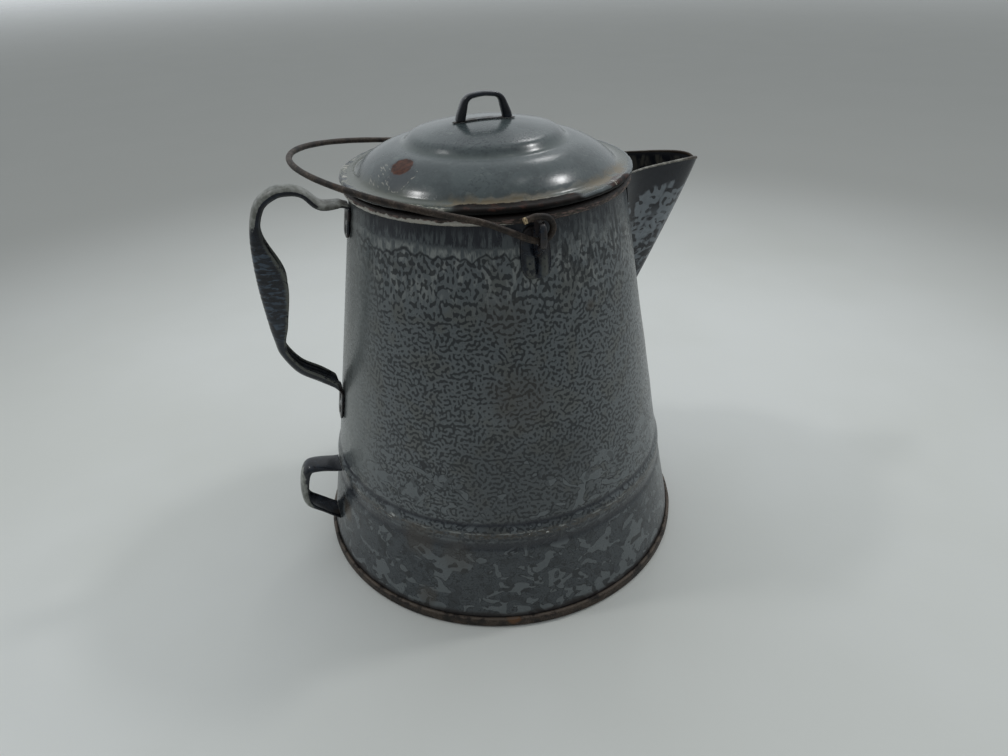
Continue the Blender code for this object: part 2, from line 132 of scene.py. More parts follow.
# Sum of cosine waves in azimuth and height, about -1 to 1, whole numbers of them round the axis
def waves(azimuth, height, seed, around, upward, count=16):
    chance = np.random.default_rng(seed)
    turns = chance.integers(around[0], around[1] + 1, count)
    rises = chance.uniform(-upward, upward, count)
    starts = chance.uniform(0.0, 2 * math.pi, count)
    total = np.zeros(np.broadcast(azimuth, height).shape)
    for turn, rise, start in zip(turns, rises, starts):
        total = total + np.cos(turn * azimuth + rise * height + start)
    return total / math.sqrt(2 * count)


# 0 below low, 1 above high, 3t^2 - 2t^3 between
def step(value, low, high):
    t = np.clip((value - low) / (high - low), 0.0, 1.0)
    return t * t * (3 - 2 * t)


# Angles of a full turn, the last left out
def fullTurn(count):
    return np.linspace(0.0, 2 * math.pi, count, endpoint=False)


# A power that keeps the sign, for superellipses
def signedPower(value, power):
    return np.sign(value) * np.abs(value) ** power


# A closed outline of (r, z) turned about Z: azimuth grows with the row
def turnedGrid(section, count):
    turn = fullTurn(count)[:, None]
    return np.dstack([section[:, 0] * np.cos(turn), section[:, 0] * np.sin(turn), section[:, 1] + 0 * turn])


# Sheet turned about Z: the line, and the same line a thickness to the left of it
def sheetGrid(line, thickness, count):
    other = offsetLine(line, thickness)
    other[np.abs(line[:, 0]) < 1e-9, 0] = 0.0
    return turnedGrid(np.vstack([line, other[::-1]]), count)


# Azimuth, radius and height of each point of a grid
def polar(grid):
    return np.arctan2(grid[..., 1], grid[..., 0]), np.hypot(grid[..., 0], grid[..., 1]), grid[..., 2]


# The grid's points moved away from the axis
def moveOut(grid, azimuth, change):
    grid[..., 0] += change * np.cos(azimuth)
    grid[..., 1] += change * np.sin(azimuth)


# Quads over a grid of points, which may close on itself either way
def gridMesh(name, grid, closeRows=False, closeColumns=False):
    rows, columns = grid.shape[:2]
    index = np.arange(rows * columns).reshape(rows, columns)
    if closeRows:
        index = np.vstack([index, index[:1]])
    if closeColumns:
        index = np.hstack([index, index[:, :1]])
    quads = np.stack([index[:-1, :-1], index[:-1, 1:], index[1:, 1:], index[1:, :-1]], axis=-1)
    quads = quads.reshape(-1, 4)
    mesh = bpy.data.meshes.new(name)
    mesh.vertices.add(rows * columns)
    mesh.vertices.foreach_set("co", grid.astype(np.float32).ravel())
    mesh.loops.add(quads.size)
    mesh.loops.foreach_set("vertex_index", quads.astype(np.int32).ravel())
    mesh.polygons.add(len(quads))
    mesh.polygons.foreach_set("loop_start", np.arange(0, quads.size, 4, dtype=np.int32))
    mesh.update(calc_edges=True)
    return mesh


# Points that coincide become one, and the faces turn outward
def weld(mesh, distance=2e-6):
    form = bmesh.new()
    form.from_mesh(mesh)
    bmesh.ops.remove_doubles(form, verts=form.verts, dist=distance)
    bmesh.ops.recalc_face_normals(form, faces=form.faces)
    form.to_mesh(mesh)
    form.free()


def addObject(name, data):
    thing = bpy.data.objects.new(name, data)
    bpy.context.scene.collection.objects.link(thing)
    return thing


# The mesh that a curve or a modifier gives; the object it came from goes
def takeMesh(thing):
    bpy.context.view_layer.update()
    mesh = bpy.data.meshes.new_from_object(thing.evaluated_get(bpy.context.evaluated_depsgraph_get()))
    bpy.data.objects.remove(thing, do_unlink=True)
    return mesh


# A finished piece: it rides on its body, stands for its node and has its material;
# the masks are values that its material reads, one for each point or one for all
def addPiece(mesh, body, node, slot, material, sharp, **masks):
    for name, values in masks.items():
        layer = mesh.attributes.new(name, "FLOAT", "POINT")
        layer.data.foreach_set("value", np.broadcast_to(np.ravel(values), len(layer.data)).astype(np.float32))
    weld(mesh)
    mesh.shade_smooth()
    mesh.set_sharp_from_angle(angle=math.radians(sharp))
    mesh.materials.append(material)
    piece = addObject(mesh.name, mesh)
    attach(piece, body)
    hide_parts(node)


# A shader value; sums, products and the like with it add Math nodes
class Shade:
    def __init__(self, finish, socket):
        self.finish = finish
        self.socket = socket

    def __add__(self, other):
        return self.finish.calc("ADD", self, other)

    def __radd__(self, other):
        return self.finish.calc("ADD", other, self)

    def __sub__(self, other):
        return self.finish.calc("SUBTRACT", self, other)

    def __rsub__(self, other):
        return self.finish.calc("SUBTRACT", other, self)

    def __mul__(self, other):
        return self.finish.calc("MULTIPLY", self, other)

    def __rmul__(self, other):
        return self.finish.calc("MULTIPLY", other, self)

    def __truediv__(self, other):
        return self.finish.calc("DIVIDE", self, other)

    def __abs__(self):
        return self.finish.calc("ABSOLUTE", self)


# A written colour, 0 to 255 as on a screen, as the linear one that the shader takes
def colour(written):
    share = np.array(written) / 255
    linear = np.where(share <= 0.04045, share / 12.92, ((share + 0.055) / 1.055) ** 2.4)
    return (*linear.tolist(), 1.0)


# The nodes of one procedural material, or of the world, with the finish's own colours
class Finish:
    def __init__(self, name, own, world=False):
        self.own = own
        self.material = (bpy.data.worlds if world else bpy.data.materials).new(name)
        self.material.use_nodes = True
        self.tree = self.material.node_tree
        self.shader = self.tree.nodes["Background" if world else "Principled BSDF"]
        self.place = self.node("ShaderNodeTexCoord", {}, {}, "Generated" if world else "Object")
        split = self.node("ShaderNodeSeparateXYZ", {}, {0: self.place}, None)
        self.x, self.y, self.z = (Shade(self, socket) for socket in split.outputs)

    def radius(self):
        return self.calc("SQRT", self.x * self.x + self.y * self.y)

    def azimuth(self):
        return self.calc("ARCTAN2", self.y, self.x)

    # A shader value, a number or the name of a colour goes into the socket
    def join(self, value, socket):
        if isinstance(value, Shade):
            self.tree.links.new(value.socket, socket)
        else:
            socket.default_value = colour(self.own[value]) if isinstance(value, str) else value

    # Any node, from its type, its settings and what goes into its sockets
    def node(self, kind, settings, sockets, output=0):
        made = self.tree.nodes.new(kind)
        for name, value in settings.items():
            setattr(made, name, value)
        for name, value in sockets.items():
            self.join(value, made.inputs[name])
        return made if output is None else Shade(self, made.outputs[output])

    def calc(self, operation, *values):
        return self.node("ShaderNodeMath", {"operation": operation}, dict(enumerate(values)))

    # Smooth change from 0 at low to 1 at high, or from 1 to 0 where low is the larger
    def ramp(self, value, low, high):
        return self.node("ShaderNodeMapRange", {"interpolation_type": "SMOOTHSTEP"},
                         {0: value, 1: low, 2: high, 3: 0.0, 4: 1.0})

    # 1 inside a band of the value, with soft edges
    def band(self, value, low, high, edge):
        return self.ramp(value, low - edge, low + edge) * self.ramp(value, high + edge, high - edge)

    def mix(self, factor, first, second):
        return self.node("ShaderNodeMix", {"data_type": "RGBA"}, {0: factor, 6: first, 7: second}, 2)

    # Another colour over the colour so far
    def over(self, factor, second):
        self.base = self.mix(factor, self.base, second)

    def stretched(self, stretch, shift=(0, 0, 0)):
        return self.node("ShaderNodeMapping", {}, {"Vector": self.place, "Location": shift, "Scale": stretch})

    def noise(self, scale, detail=2.0, roughness=0.5, stretch=(1, 1, 1), shift=(0, 0, 0), distortion=0.0):
        return self.node("ShaderNodeTexNoise", {}, {
            "Vector": self.stretched(stretch, shift), "Scale": scale, "Detail": detail,
            "Roughness": roughness, "Distortion": distortion})

    # Worms and dots of even spacing: waves of one length in every direction
    def worms(self, spacing, vector=None, waves=1.7):
        return self.node("ShaderNodeTexGabor", {"gabor_type": "3D"}, {
            "Vector": vector or self.place, "Scale": 1 / (spacing * waves),
            "Frequency": waves, "Anisotropy": 0.0})

    # 1 near a point of the object and 0 beyond the radius, with a ragged edge
    def spot(self, point, radius, ragged=0.35, rough=260.0, edge=0.25, place=None):
        place = place or self.place
        away = self.node("ShaderNodeVectorMath", {"operation": "DISTANCE"}, {0: place, 1: point}, 1)
        away = away + (self.noise(rough, 2.5) - 0.5) * (2 * ragged * radius)
        return self.ramp(away, radius * (1 + edge), radius * (1 - edge))

    def attribute(self, name):
        return self.node("ShaderNodeAttribute", {"attribute_name": name}, {}, "Fac")

    def set(self, **values):
        for name, value in values.items():
            self.join(value, self.shader.inputs[name.replace("_", " ")])

    def bump(self, height, distance, strength=1.0):
        normal = self.node("ShaderNodeBump", {}, {
            "Height": height, "Distance": distance, "Strength": strength})
        self.join(normal, self.shader.inputs["Normal"])


bodyFinish = {
    "ground": (82, 89, 92), "pale": (112, 118, 120), "fleck": (24, 29, 34), "slate": (58, 64, 69),
    "navy": (22, 27, 38), "brown": (70, 60, 48), "warm": (94, 94, 86), "side": (124, 128, 126),
    "sideDark": (76, 76, 68), "rust": (38, 30, 27), "rose": (120, 97, 90), "cream": (168, 158, 142),
    "chipAndGlint": (190, 192, 188), "stroke": (142, 146, 144), "roughness": 0.24, "coatIndex": 1.55,
    "wormSpacing": 0.0024, "wormTilt": 0.84, "drawnFrom": 0.192, "patchScale": 80.0, "patchBar": 0.72,
    # Heights between which each band fades in, or its two ends and their softness
    "linesRise": (0.190, 0.212), "footFade": (0.128, 0.088), "skirtTop": (0.0590, 0.0545),
    "paintedShadeFoot": (0.140, 0.105), "calmFoot": (0.150, 0.110), "outlineFoot": (0.160, 0.120),
    "archLine": (0.2232, 0.2244, 0.0005), "strokesFrom": (0.2244, 0.2254), "dashesFrom": (0.205, 0.220),
    "dripsFrom": (0.2282, 0.2304), "navyUnderRim": (0.2330, 0.2395), "rustFrom": (0.2398, 0.2403),
    "shadowUnderLid": (0.2431, 0.2440), "grooveDirtAndShade": [(0.0692, 0.0716, 0.0010), (0.0535, 0.0590, 0.0020)],
    "crest": (0.0618, 0.0660, 0.0012), "crestHighlight": (0.0647, 0.0656, 0.0003),
    "underCrestShade": (0.0600, 0.0616, 0.0008), "seatRust": (0.0105, 0.0075), "creamFrom": 0.2393,
    # The side toward the right ends at these azimuths, the cream chips begin at these
    "rightSide": ((-1.56, -1.38), (0.90, 0.60)), "creamSide": (-1.62, -2.05),
    # Place, size and strength of the brown stains
    "stains": [
        ((-0.0143, -0.0954, 0.1473), 0.016, 0.32), ((0.0307, -0.0832, 0.1904), 0.003, 0.5),
        ((-0.0180, -0.0870, 0.1930), 0.012, 0.22), ((-0.0763, -0.0833, 0.0551), 0.010, 0.45),
        ((-0.0767, -0.0936, 0.0163), 0.006, 0.45), ((-0.0560, -0.0980, 0.0480), 0.010, 0.3),
        ((-0.1140, -0.0248, 0.0380), 0.007, 0.85), ((-0.1150, 0.0120, 0.0300), 0.008, 0.60)],
}


# Enamel of the body: worms on a paler ground, puddles with dark outlines low down, and
# the bands under the rim, each a threshold of a noise against the height
def bodyEnamel():
    own = bodyFinish
    f = Finish("bodyEnamel", own)
    radius = f.radius()
    height = f.z
    azimuth = f.azimuth()

    # Worms, drawn out upward where the wall nears the rim
    bent = height * own["wormTilt"] - f.calc("MAXIMUM", height - own["drawnFrom"], 0.0) * 0.30
    grain = f.worms(own["wormSpacing"], f.node("ShaderNodeCombineXYZ", {}, {0: f.x, 1: f.y, 2: bent}))
    torn = f.noise(620.0, 1.0, 0.5, (1, 1, 0.7), (7, 0, 7))
    wander = (f.noise(30.0, shift=(5, 0, 0)) - 0.5) * 0.12 + (torn - 0.5) * 0.36
    fleck = f.ramp(grain + wander, 0.500, 0.435)

    mottle = f.noise(260.0, 2.0, 0.6)
    light = f.noise(16.0, 3.0)
    f.base = f.mix(light * 0.8 + mottle * 0.3, "ground", "pale")
    f.over(f.ramp(f.noise(75.0, shift=(3, 7, 1)), 0.48, 0.66) * 0.45, "warm")
    lines = f.noise(300.0, 2.0, 0.6, (1, 1, 0.25), (4, 4, 0))
    f.over(f.ramp(lines, 0.50, 0.64) * f.ramp(height, *own["linesRise"]) * 0.7, "stroke")
    f.over(fleck * (0.94 - light * 0.20), "fleck")

    # Puddles: rare in the middle of the wall, common toward its foot and on the skirt
    patch = f.noise(own["patchScale"], 2.0, 0.45, (1, 1, 1.4), (0, 7, 0), distortion=1.0)
    front = f.ramp(abs(azimuth + 1.68), 0.55, 0.25)
    foot = f.ramp(height, *own["footFade"])
    below = f.ramp(height, *own["skirtTop"])
    bar = own["patchBar"] - foot * 0.200 + front * 0.08 * (1 - below) + below * 0.02
    puddle = f.ramp(patch - bar, -0.004, 0.008)
    # Painted shade: the front of the lower wall is darkened toward the fleck colour
    f.over(front * f.ramp(height, *own["paintedShadeFoot"]) * 0.38, "fleck")
    calm = f.ramp(patch - bar + 0.035, -0.010, 0.010) * f.ramp(height, *own["calmFoot"])
    f.over(calm * 0.60, "slate")
    cells = f.ramp(abs(grain - 0.5), 0.045, 0.012)
    skirt = f.mix(mottle * 0.45, "slate", "ground")
    f.over(below, f.mix(cells * 0.95, skirt, "fleck"))
    f.over(puddle * (0.95 - below * 0.20), f.mix(mottle * 0.6, "pale", "ground"))
    drops = f.noise(150.0, 0.5, 0.5, (1, 1, 1.2), (6, 0, 2))
    f.over(f.ramp(drops, 0.60, 0.625) * (below * 0.5 + puddle * 0.5) * 0.9, "fleck")
    outline = f.ramp(abs(patch - bar + 0.008), 0.015, 0.004)
    f.over(outline * f.ramp(height, *own["outlineFoot"]) * 0.95, "fleck")

    # Under the rim: navy drips, a pale ragged band and a thin row of arches; at the right the
    # drips run out between pale strokes
    scallop = f.noise(170.0, 1.0, 0.5, (1, 1, 0.02), (0, 0, 4))
    streak = f.noise(560.0, 2.0, 0.6, (1, 1, 0.035), (0, 9, 4))
    wide = f.noise(40.0, 1.0, 0.5, (1, 1, 0.3), (0, 2, 1))
    edge = height + f.ramp(azimuth, -2.30, -1.15) * 0.003 + (wide - 0.5) * 0.006
    near, far = own["rightSide"]
    right = f.ramp(azimuth, *near) * f.ramp(azimuth, *far)
    arch = edge + (scallop - 0.5) * 0.011
    f.over(f.band(arch, *own["archLine"]) * (1 - right) * 0.85, "fleck")
    strokes = f.mix(f.ramp(streak, 0.40, 0.62), "ground", "stroke")
    f.over(f.ramp(arch, *own["strokesFrom"]) * (0.90 - right * 0.50), strokes)
    dashes = f.noise(330.0, 1.5, 0.5, (1, 1, 0.16), (2, 0, 3))
    f.over(f.ramp(dashes, 0.50, 0.44) * right * f.ramp(height, *own["dashesFrom"]) * 0.8, "fleck")
    drip = edge + (streak - 0.5) * (0.012 + right * 0.026)
    navy = f.mix(f.ramp(streak, 0.42, 0.62) * 0.85, "navy", "ground")
    low, high = own["dripsFrom"]
    f.over(f.ramp(drip, low, high + right * 0.004) * (0.95 - right * 0.25), navy)
    f.over(f.ramp(height, *own["navyUnderRim"]) * (0.80 - right * 0.35), "navy")

    # Painted reflection: the strip by the back handle is painted pale and streaked as the sheen of the bright
    # room at a grazing angle; it is browner at its far edge
    away = 0.0 - f.x / radius + (f.noise(60.0, 2.0, 0.5, (1, 1, 0.3)) - 0.5) * 0.04
    rear = f.ramp(away, 0.820, 0.975) * f.ramp(height, 0.066, 0.090)
    sheenStreaks = f.noise(300.0, 3.0, 0.6, (1, 1, 0.08), (1, 1, 0))
    rear = rear * (0.74 - f.ramp(height, 0.205, 0.228) * 0.50)
    f.over(rear, f.mix(sheenStreaks * 0.6, "side", "ground"))
    far = f.ramp(away, 0.960, 1.000) * f.ramp(height, 0.105, 0.150)
    f.over(far * f.ramp(sheenStreaks, 0.34, 0.66) * 0.50, "sideDark")

    # Dirt and painted shade in the grooves of the bead, painted shade under its crest, a painted highlight
    # line along the crest, and pale flecks on it that are worn chips and painted glints
    worn = f.noise(420.0, 2.0, 0.6, (0.6, 0.6, 1.4), (8, 0, 0), distortion=0.6)
    # Dirt and painted shade: the bead's two grooves darkened to navy
    upper, lower = (f.band(height, *groove) for groove in own["grooveDirtAndShade"])
    f.over((upper + lower) * 0.82, "navy")
    crest = f.band(height, *own["crest"])
    f.over(crest * 0.55, f.mix(f.ramp(worn, 0.42, 0.52), "slate", "brown"))
    # Painted highlight: a broken pale line along the bead's crest
    broken = f.ramp(f.noise(60.0, 1.5, shift=(4, 0, 1)), 0.46, 0.54)
    line = f.band(height + (mottle - 0.5) * 0.0016, *own["crestHighlight"])
    f.over(line * (0.15 + broken * 0.60) * f.ramp(worn, 0.46, 0.54), "stroke")
    # Painted shade under the bead's crest
    f.over(f.band(height, *own["underCrestShade"]) * 0.60, "navy")
    # Pale flecks on the crest: worn chips and painted glints
    chips = crest * f.ramp(worn, 0.66, 0.69) * f.ramp(f.noise(38.0, 1.0, shift=(1, 5, 1)), 0.52, 0.58)
    f.over(chips, "chipAndGlint")

    # Brown stains on the front and the lower left
    for point, size, amount in own["stains"]:
        f.over(f.spot(point, size, 0.5, 190.0, 0.5) * amount, "brown")

    # The rolled rim is worn to rust, with cream chips along its lower edge; the top of the roll, under the
    # lid, is painted dark as shade
    ragged = height + (f.noise(330.0, 3.0) - 0.5) * 0.0012
    rim = f.ramp(ragged, *own["rustFrom"]) * f.ramp(radius, 0.0786, 0.0792)
    shine = f.noise(300.0, 3.0, 0.65, shift=(0, 3, 3))
    rust = f.mix(f.ramp(shine, 0.42, 0.60), "rust", "brown")
    streaked = f.noise(420.0, 2.0, 0.6, (0.6, 0.6, 2.5), (5, 5, 0))
    rust = f.mix(f.ramp(streaked, 0.50, 0.60) * 0.85, rust, "rose")
    # Painted shadow: the top of the roll, under the lid, goes to the dark rust colour
    rust = f.mix(f.ramp(height, *own["shadowUnderLid"]), rust, "rust")
    f.over(rim, rust)
    left = f.ramp(azimuth, *own["creamSide"])
    chalk = f.noise(150.0, 3.0, 0.65, shift=(6, 0, 0), distortion=0.3)
    upTo = own["creamFrom"] + 0.0008 + left * 0.0026 + (chalk - 0.5) * 0.006
    cream = f.band(height, own["creamFrom"], upTo, 0.0003) * f.ramp(radius, 0.0815, 0.0822)
    dotted = f.ramp(f.noise(260.0, 2.0, 0.6, shift=(2, 8, 0)), 0.40, 0.50)
    cream = cream * f.calc("MAXIMUM", dotted, left)
    f.over(cream * 0.9, f.mix(shine, "cream", "chipAndGlint"))
    seat = f.ramp(height + (f.noise(120.0, 3.0) - 0.5) * 0.005, *own["seatRust"])
    f.over(seat * 0.75, "rust")

    bare = f.calc("MAXIMUM", rim * (1 - cream), seat)
    f.set(Base_Color=f.base, Roughness=own["roughness"] + fleck * 0.04 + bare * 0.35 + mottle * 0.08)
    f.shader.inputs["IOR"].default_value = own["coatIndex"]
    f.bump(grain * 0.35 + f.noise(90.0) * 0.8 + puddle * 0.10 + rim * worn * 1.2, 0.0006, 0.30)
    return f.material


lidFinish = {
    "ground": (82, 92, 93), "pale": (103, 112, 109), "deep": (66, 75, 77),
    "fleck": (38, 46, 54), "band": (100, 103, 91), "ochre": (118, 101, 70),
    "rust": (26, 20, 17), "redRust": (62, 38, 30), "spot": (96, 60, 46),
    "cream": (172, 169, 158), "dark": (8, 8, 8), "roughness": 0.21,
    # Radii of the painted reflection ring on the crown's step, of the flange's parts and of the rolled edge
    "ring": (0.0450, 0.0480, 0.0016), "crownSpecks": (0.033, 0.043, 0.005), "haze": (0.0690, 0.0750),
    "flange": (0.0736, 0.0750), "rimLine": (0.0732, 0.0746, 0.0004), "stain": (0.0738, 0.0800, 0.0024),
    # The last two on the next line are heights below which the rolled edge is painted as shade
    "edge": (0.0812, 0.0819), "shadowBelowRoll": (0.2479, 0.2487), "lowRollShade": (0.2488, 0.2478),
    # Azimuths of the stains, the rust, the painted shade low on the rolled edge and the chips
    "stainSides": [(-2.12, -1.45, 0.12), (-1.12, -0.45, 0.15)], "frontRust": (-2.06, -1.22, 0.05),
    "lowRollShadeSide": (-2.3, -0.60, 0.10), "rightRust": (-0.96, -0.70, 0.04),
    "hazeSides": [(-2.10, -2.50), (2.0, 2.4)], "chipSides": [(-2.02, -2.14), (2.40, 2.80)],
    "bruise": (-0.0575, -0.0370, 0.2580), "scratches": (-0.0640, -0.0240, 0.2565),
    "rustSpot": (-0.0534, -0.0276, 0.2605), "spotStretch": 1.16,
}


# Enamel of the lid: fine mottling and specks, a paler stained band inside the rolled edge,
# and chips and rust along the edge, by azimuth
def lidEnamel():
    own = lidFinish
    f = Finish("lidEnamel", own)
    radius = f.radius()
    azimuth = f.azimuth()
    mottle = f.noise(330.0, 3.0, 0.65, distortion=0.3)
    cloud = f.noise(45.0, 3.0, 0.55, distortion=0.4)
    f.base = f.mix(f.ramp(cloud + (mottle - 0.5) * 0.5, 0.30, 0.70), "deep", "ground")
    speck = f.ramp(f.noise(520.0, 2.0, 0.6, distortion=0.5), 0.46, 0.41)
    zone = f.ramp(f.noise(34.0, 1.5, shift=(0, 3, 0)), 0.50, 0.64)
    crownFront = f.band(radius, *own["crownSpecks"]) * f.ramp(f.y, -0.014, -0.032) * f.ramp(f.x, 0.030, 0.010)
    f.over(speck * (0.12 + zone * 0.30 + crownFront * 0.65), "fleck")
    light = f.ramp(f.noise(300.0, 2.0, 0.6, shift=(2, 2, 2)), 0.60, 0.68)
    f.over(light * (0.25 + zone * 0.3), "pale")
    # Painted reflection: a pale ring on the step between crown and dome
    f.over(f.band(radius + (cloud - 0.5) * 0.003, *own["ring"]) * 0.45, "pale")

    # The flange: paler and browner, its upper border scalloped like a dried puddle
    border = radius + (f.noise(150.0, 1.5, 0.5, (1, 1, 0.3), (4, 1, 0)) - 0.5) * 0.0050
    f.over(f.ramp(border, *own["flange"]) * 0.80, f.mix(mottle * 0.8, "band", "ground"))
    before, behind = (f.ramp(azimuth, *side) for side in own["hazeSides"])
    f.over(f.ramp(border, *own["haze"]) * (before + behind) * 0.45, "band")
    rimLine = f.band(border, *own["rimLine"]) * f.ramp(abs(azimuth + 1.55), 0.50, 0.30)
    f.over(rimLine * 0.30, "cream")
    left, right = (f.band(azimuth, *side) for side in own["stainSides"])
    stain = f.band(border, *own["stain"]) * (left + right)
    stain = stain * f.ramp(f.noise(90.0, 3.0, 0.6, shift=(1, 4, 0)), 0.34, 0.52)
    f.over(stain * 0.80, "ochre")

    # Bruise with its scratches, and the rust spot above it
    bruise = f.spot(own["bruise"], 0.0088, 0.55, 130.0, 0.10)
    f.over(bruise * 0.50, "fleck")
    nicks = f.ramp(f.noise(480.0, 2.0, 0.6, shift=(8, 1, 0)), 0.50, 0.56)
    f.over(f.ramp(abs(bruise - 0.45), 0.44, 0.20) * nicks * 0.7, "cream")
    scratch = f.noise(900.0, 1.0, 0.5, (1, 0.16, 0.5), (0, 0, 7))
    near = f.spot(own["scratches"], 0.0085, 0.3)
    f.over(near * f.ramp(scratch, 0.64, 0.68) * 0.7, "cream")
    x, y, z = own["rustSpot"]
    narrow = f.stretched((own["spotStretch"], 1, 1))
    rustPoint = (x * own["spotStretch"], y, z)
    spot = f.spot(rustPoint, 0.0072, 0.16, 420.0, 0.08, narrow)
    fringe = f.spot(rustPoint, 0.0086, 0.45, 600.0, 0.10, narrow)
    f.over(fringe * 0.6, "fleck")
    f.over(spot, f.mix(f.ramp(mottle, 0.35, 0.65), "spot", "redRust"))

    # Rolled edge: rust at the front and right, gray between, navy and cream chips at the left; at the front
    # its lower part is painted with the rust colours as shade
    ragged = radius + (f.noise(210.0, 3.0, 0.6) - 0.5) * 0.0040
    chips = f.noise(190.0, 3.0, 0.65, shift=(3, 3, 0), distortion=0.3)
    wobble = azimuth + (f.noise(60.0) - 0.5) * 0.30
    rusty = f.band(wobble, *own["frontRust"])
    # Painted shade: the lower part of the rolled edge at the front, given the rust colours, roughness and
    # metal
    lowRollShade = f.ramp(f.z, *own["lowRollShade"]) * f.band(wobble, *own["lowRollShadeSide"])
    rightRust = f.band(wobble, *own["rightRust"])
    before, behind = (f.ramp(wobble, *side) for side in own["chipSides"])
    chipped = f.calc("MINIMUM", before + behind, 1.0)
    edge = f.ramp(ragged + chipped * 0.0014 + rusty * 0.0052, *own["edge"])
    plain = f.mix(f.ramp(chips, 0.40, 0.60), "deep", "ground")
    worn = f.mix(f.ramp(chips, 0.44, 0.50), "fleck", "band")
    worn = f.mix(f.ramp(chips, 0.55, 0.59), worn, "cream")
    edgeColour = f.mix(chipped, plain, worn)
    rust = f.mix(f.ramp(chips, 0.52, 0.68), "rust", "redRust")
    rustAndShade = f.calc("MINIMUM", rusty + lowRollShade * 0.9 + rightRust, 1.0)
    edgeColour = f.mix(rustAndShade, edgeColour, rust)
    f.over(edge, edgeColour)
    wide = f.ramp(ragged, 0.0775, 0.0792) * rightRust
    f.over(wide * f.ramp(chips, 0.42, 0.50), "redRust")
    f.over(wide * f.ramp(chips, 0.60, 0.64), "cream")
    # Painted shadow: below the middle of the rolled edge, and on the collar, everything is painted near black
    f.over(1 - f.ramp(f.z, *own["shadowBelowRoll"]), "dark")
    f.set(Base_Color=f.base, Roughness=own["roughness"] + edge * rustAndShade * 0.40 + stain * 0.15 + spot * 0.55
          + bruise * 0.12, Metallic=edge * rustAndShade * 0.65)
    f.bump(f.noise(55.0) * 0.8 + speck * 0.05 + edge * chips * 1.4, 0.0005, 0.28)
    return f.material


darkFinish = {
    "navy": (22, 26, 34), "streak": (52, 63, 76), "ripple": (86, 102, 118),
    "gray": (112, 114, 106), "light": (150, 152, 146), "rust": (58, 46, 38),
    "roughness": 0.20,
}


# Dark enamel of handles, ears and knob: navy, gray where the piece's worn value is high
def darkEnamel(name, streaks):
    own = darkFinish
    f = Finish(name, own)
    worn = f.attribute("worn")
    cloud = f.noise(140.0, 3.0, 0.6, distortion=0.3)
    fine = f.noise(330.0, 3.0, 0.6, shift=(2, 0, 5))
    f.base = f.mix(f.ramp(cloud, 0.46, 0.72) * 0.5, "navy", "streak")
    ribs = f.noise(520.0, 2.0, 0.55, (0.28, 0.28, 1.0), (0, 0, 3), distortion=0.4)
    lines = f.ramp(ribs, 0.50, 0.60) * f.attribute("ribbed")
    f.over(lines * streaks, f.mix(fine, "streak", "ripple"))
    wear = f.ramp(worn + (cloud - 0.5) * 0.9 + (fine - 0.5) * 0.5, 0.38, 0.62)
    grayed = f.mix(f.ramp(fine, 0.35, 0.62), "gray", "light")
    f.over(wear * 0.9, f.mix(f.ramp(cloud, 0.55, 0.75) * 0.5, grayed, "streak"))
    rubbed = f.attribute("rim") * f.ramp(fine, 0.36, 0.50)
    f.over(rubbed * 0.75, "gray")
    dirt = f.attribute("rusty") * f.ramp(f.noise(200.0, 3.0), 0.40, 0.58)
    f.over(dirt * 0.8, "rust")
    f.set(Base_Color=f.base, Roughness=own["roughness"] + wear * 0.12 + cloud * 0.10 + dirt * 0.2)
    f.bump(cloud * 0.8 + ribs * streaks * 0.6, 0.0005, 0.35)
    return f.material


lipFinish = {
    "navy": (22, 25, 32), "gray": (134, 142, 148), "slate": (50, 56, 65),
    "edge": (150, 148, 138), "rust": (60, 48, 38), "earth": (92, 90, 82), "roughness": 0.22,
    "coatIndex": 1.36, "wormSpacing": 0.0050, "field": (0.1080, -0.0140, 0.2100), "fieldRadius": 0.021,
    "darkTop": (0.2290, 0.2255), "paleFrom": (0.180, 0.192), "streaksBelow": (0.216, 0.200),
    "tip": (0.118, 0.130), "rustyRim": (-0.004, 0.006),
}


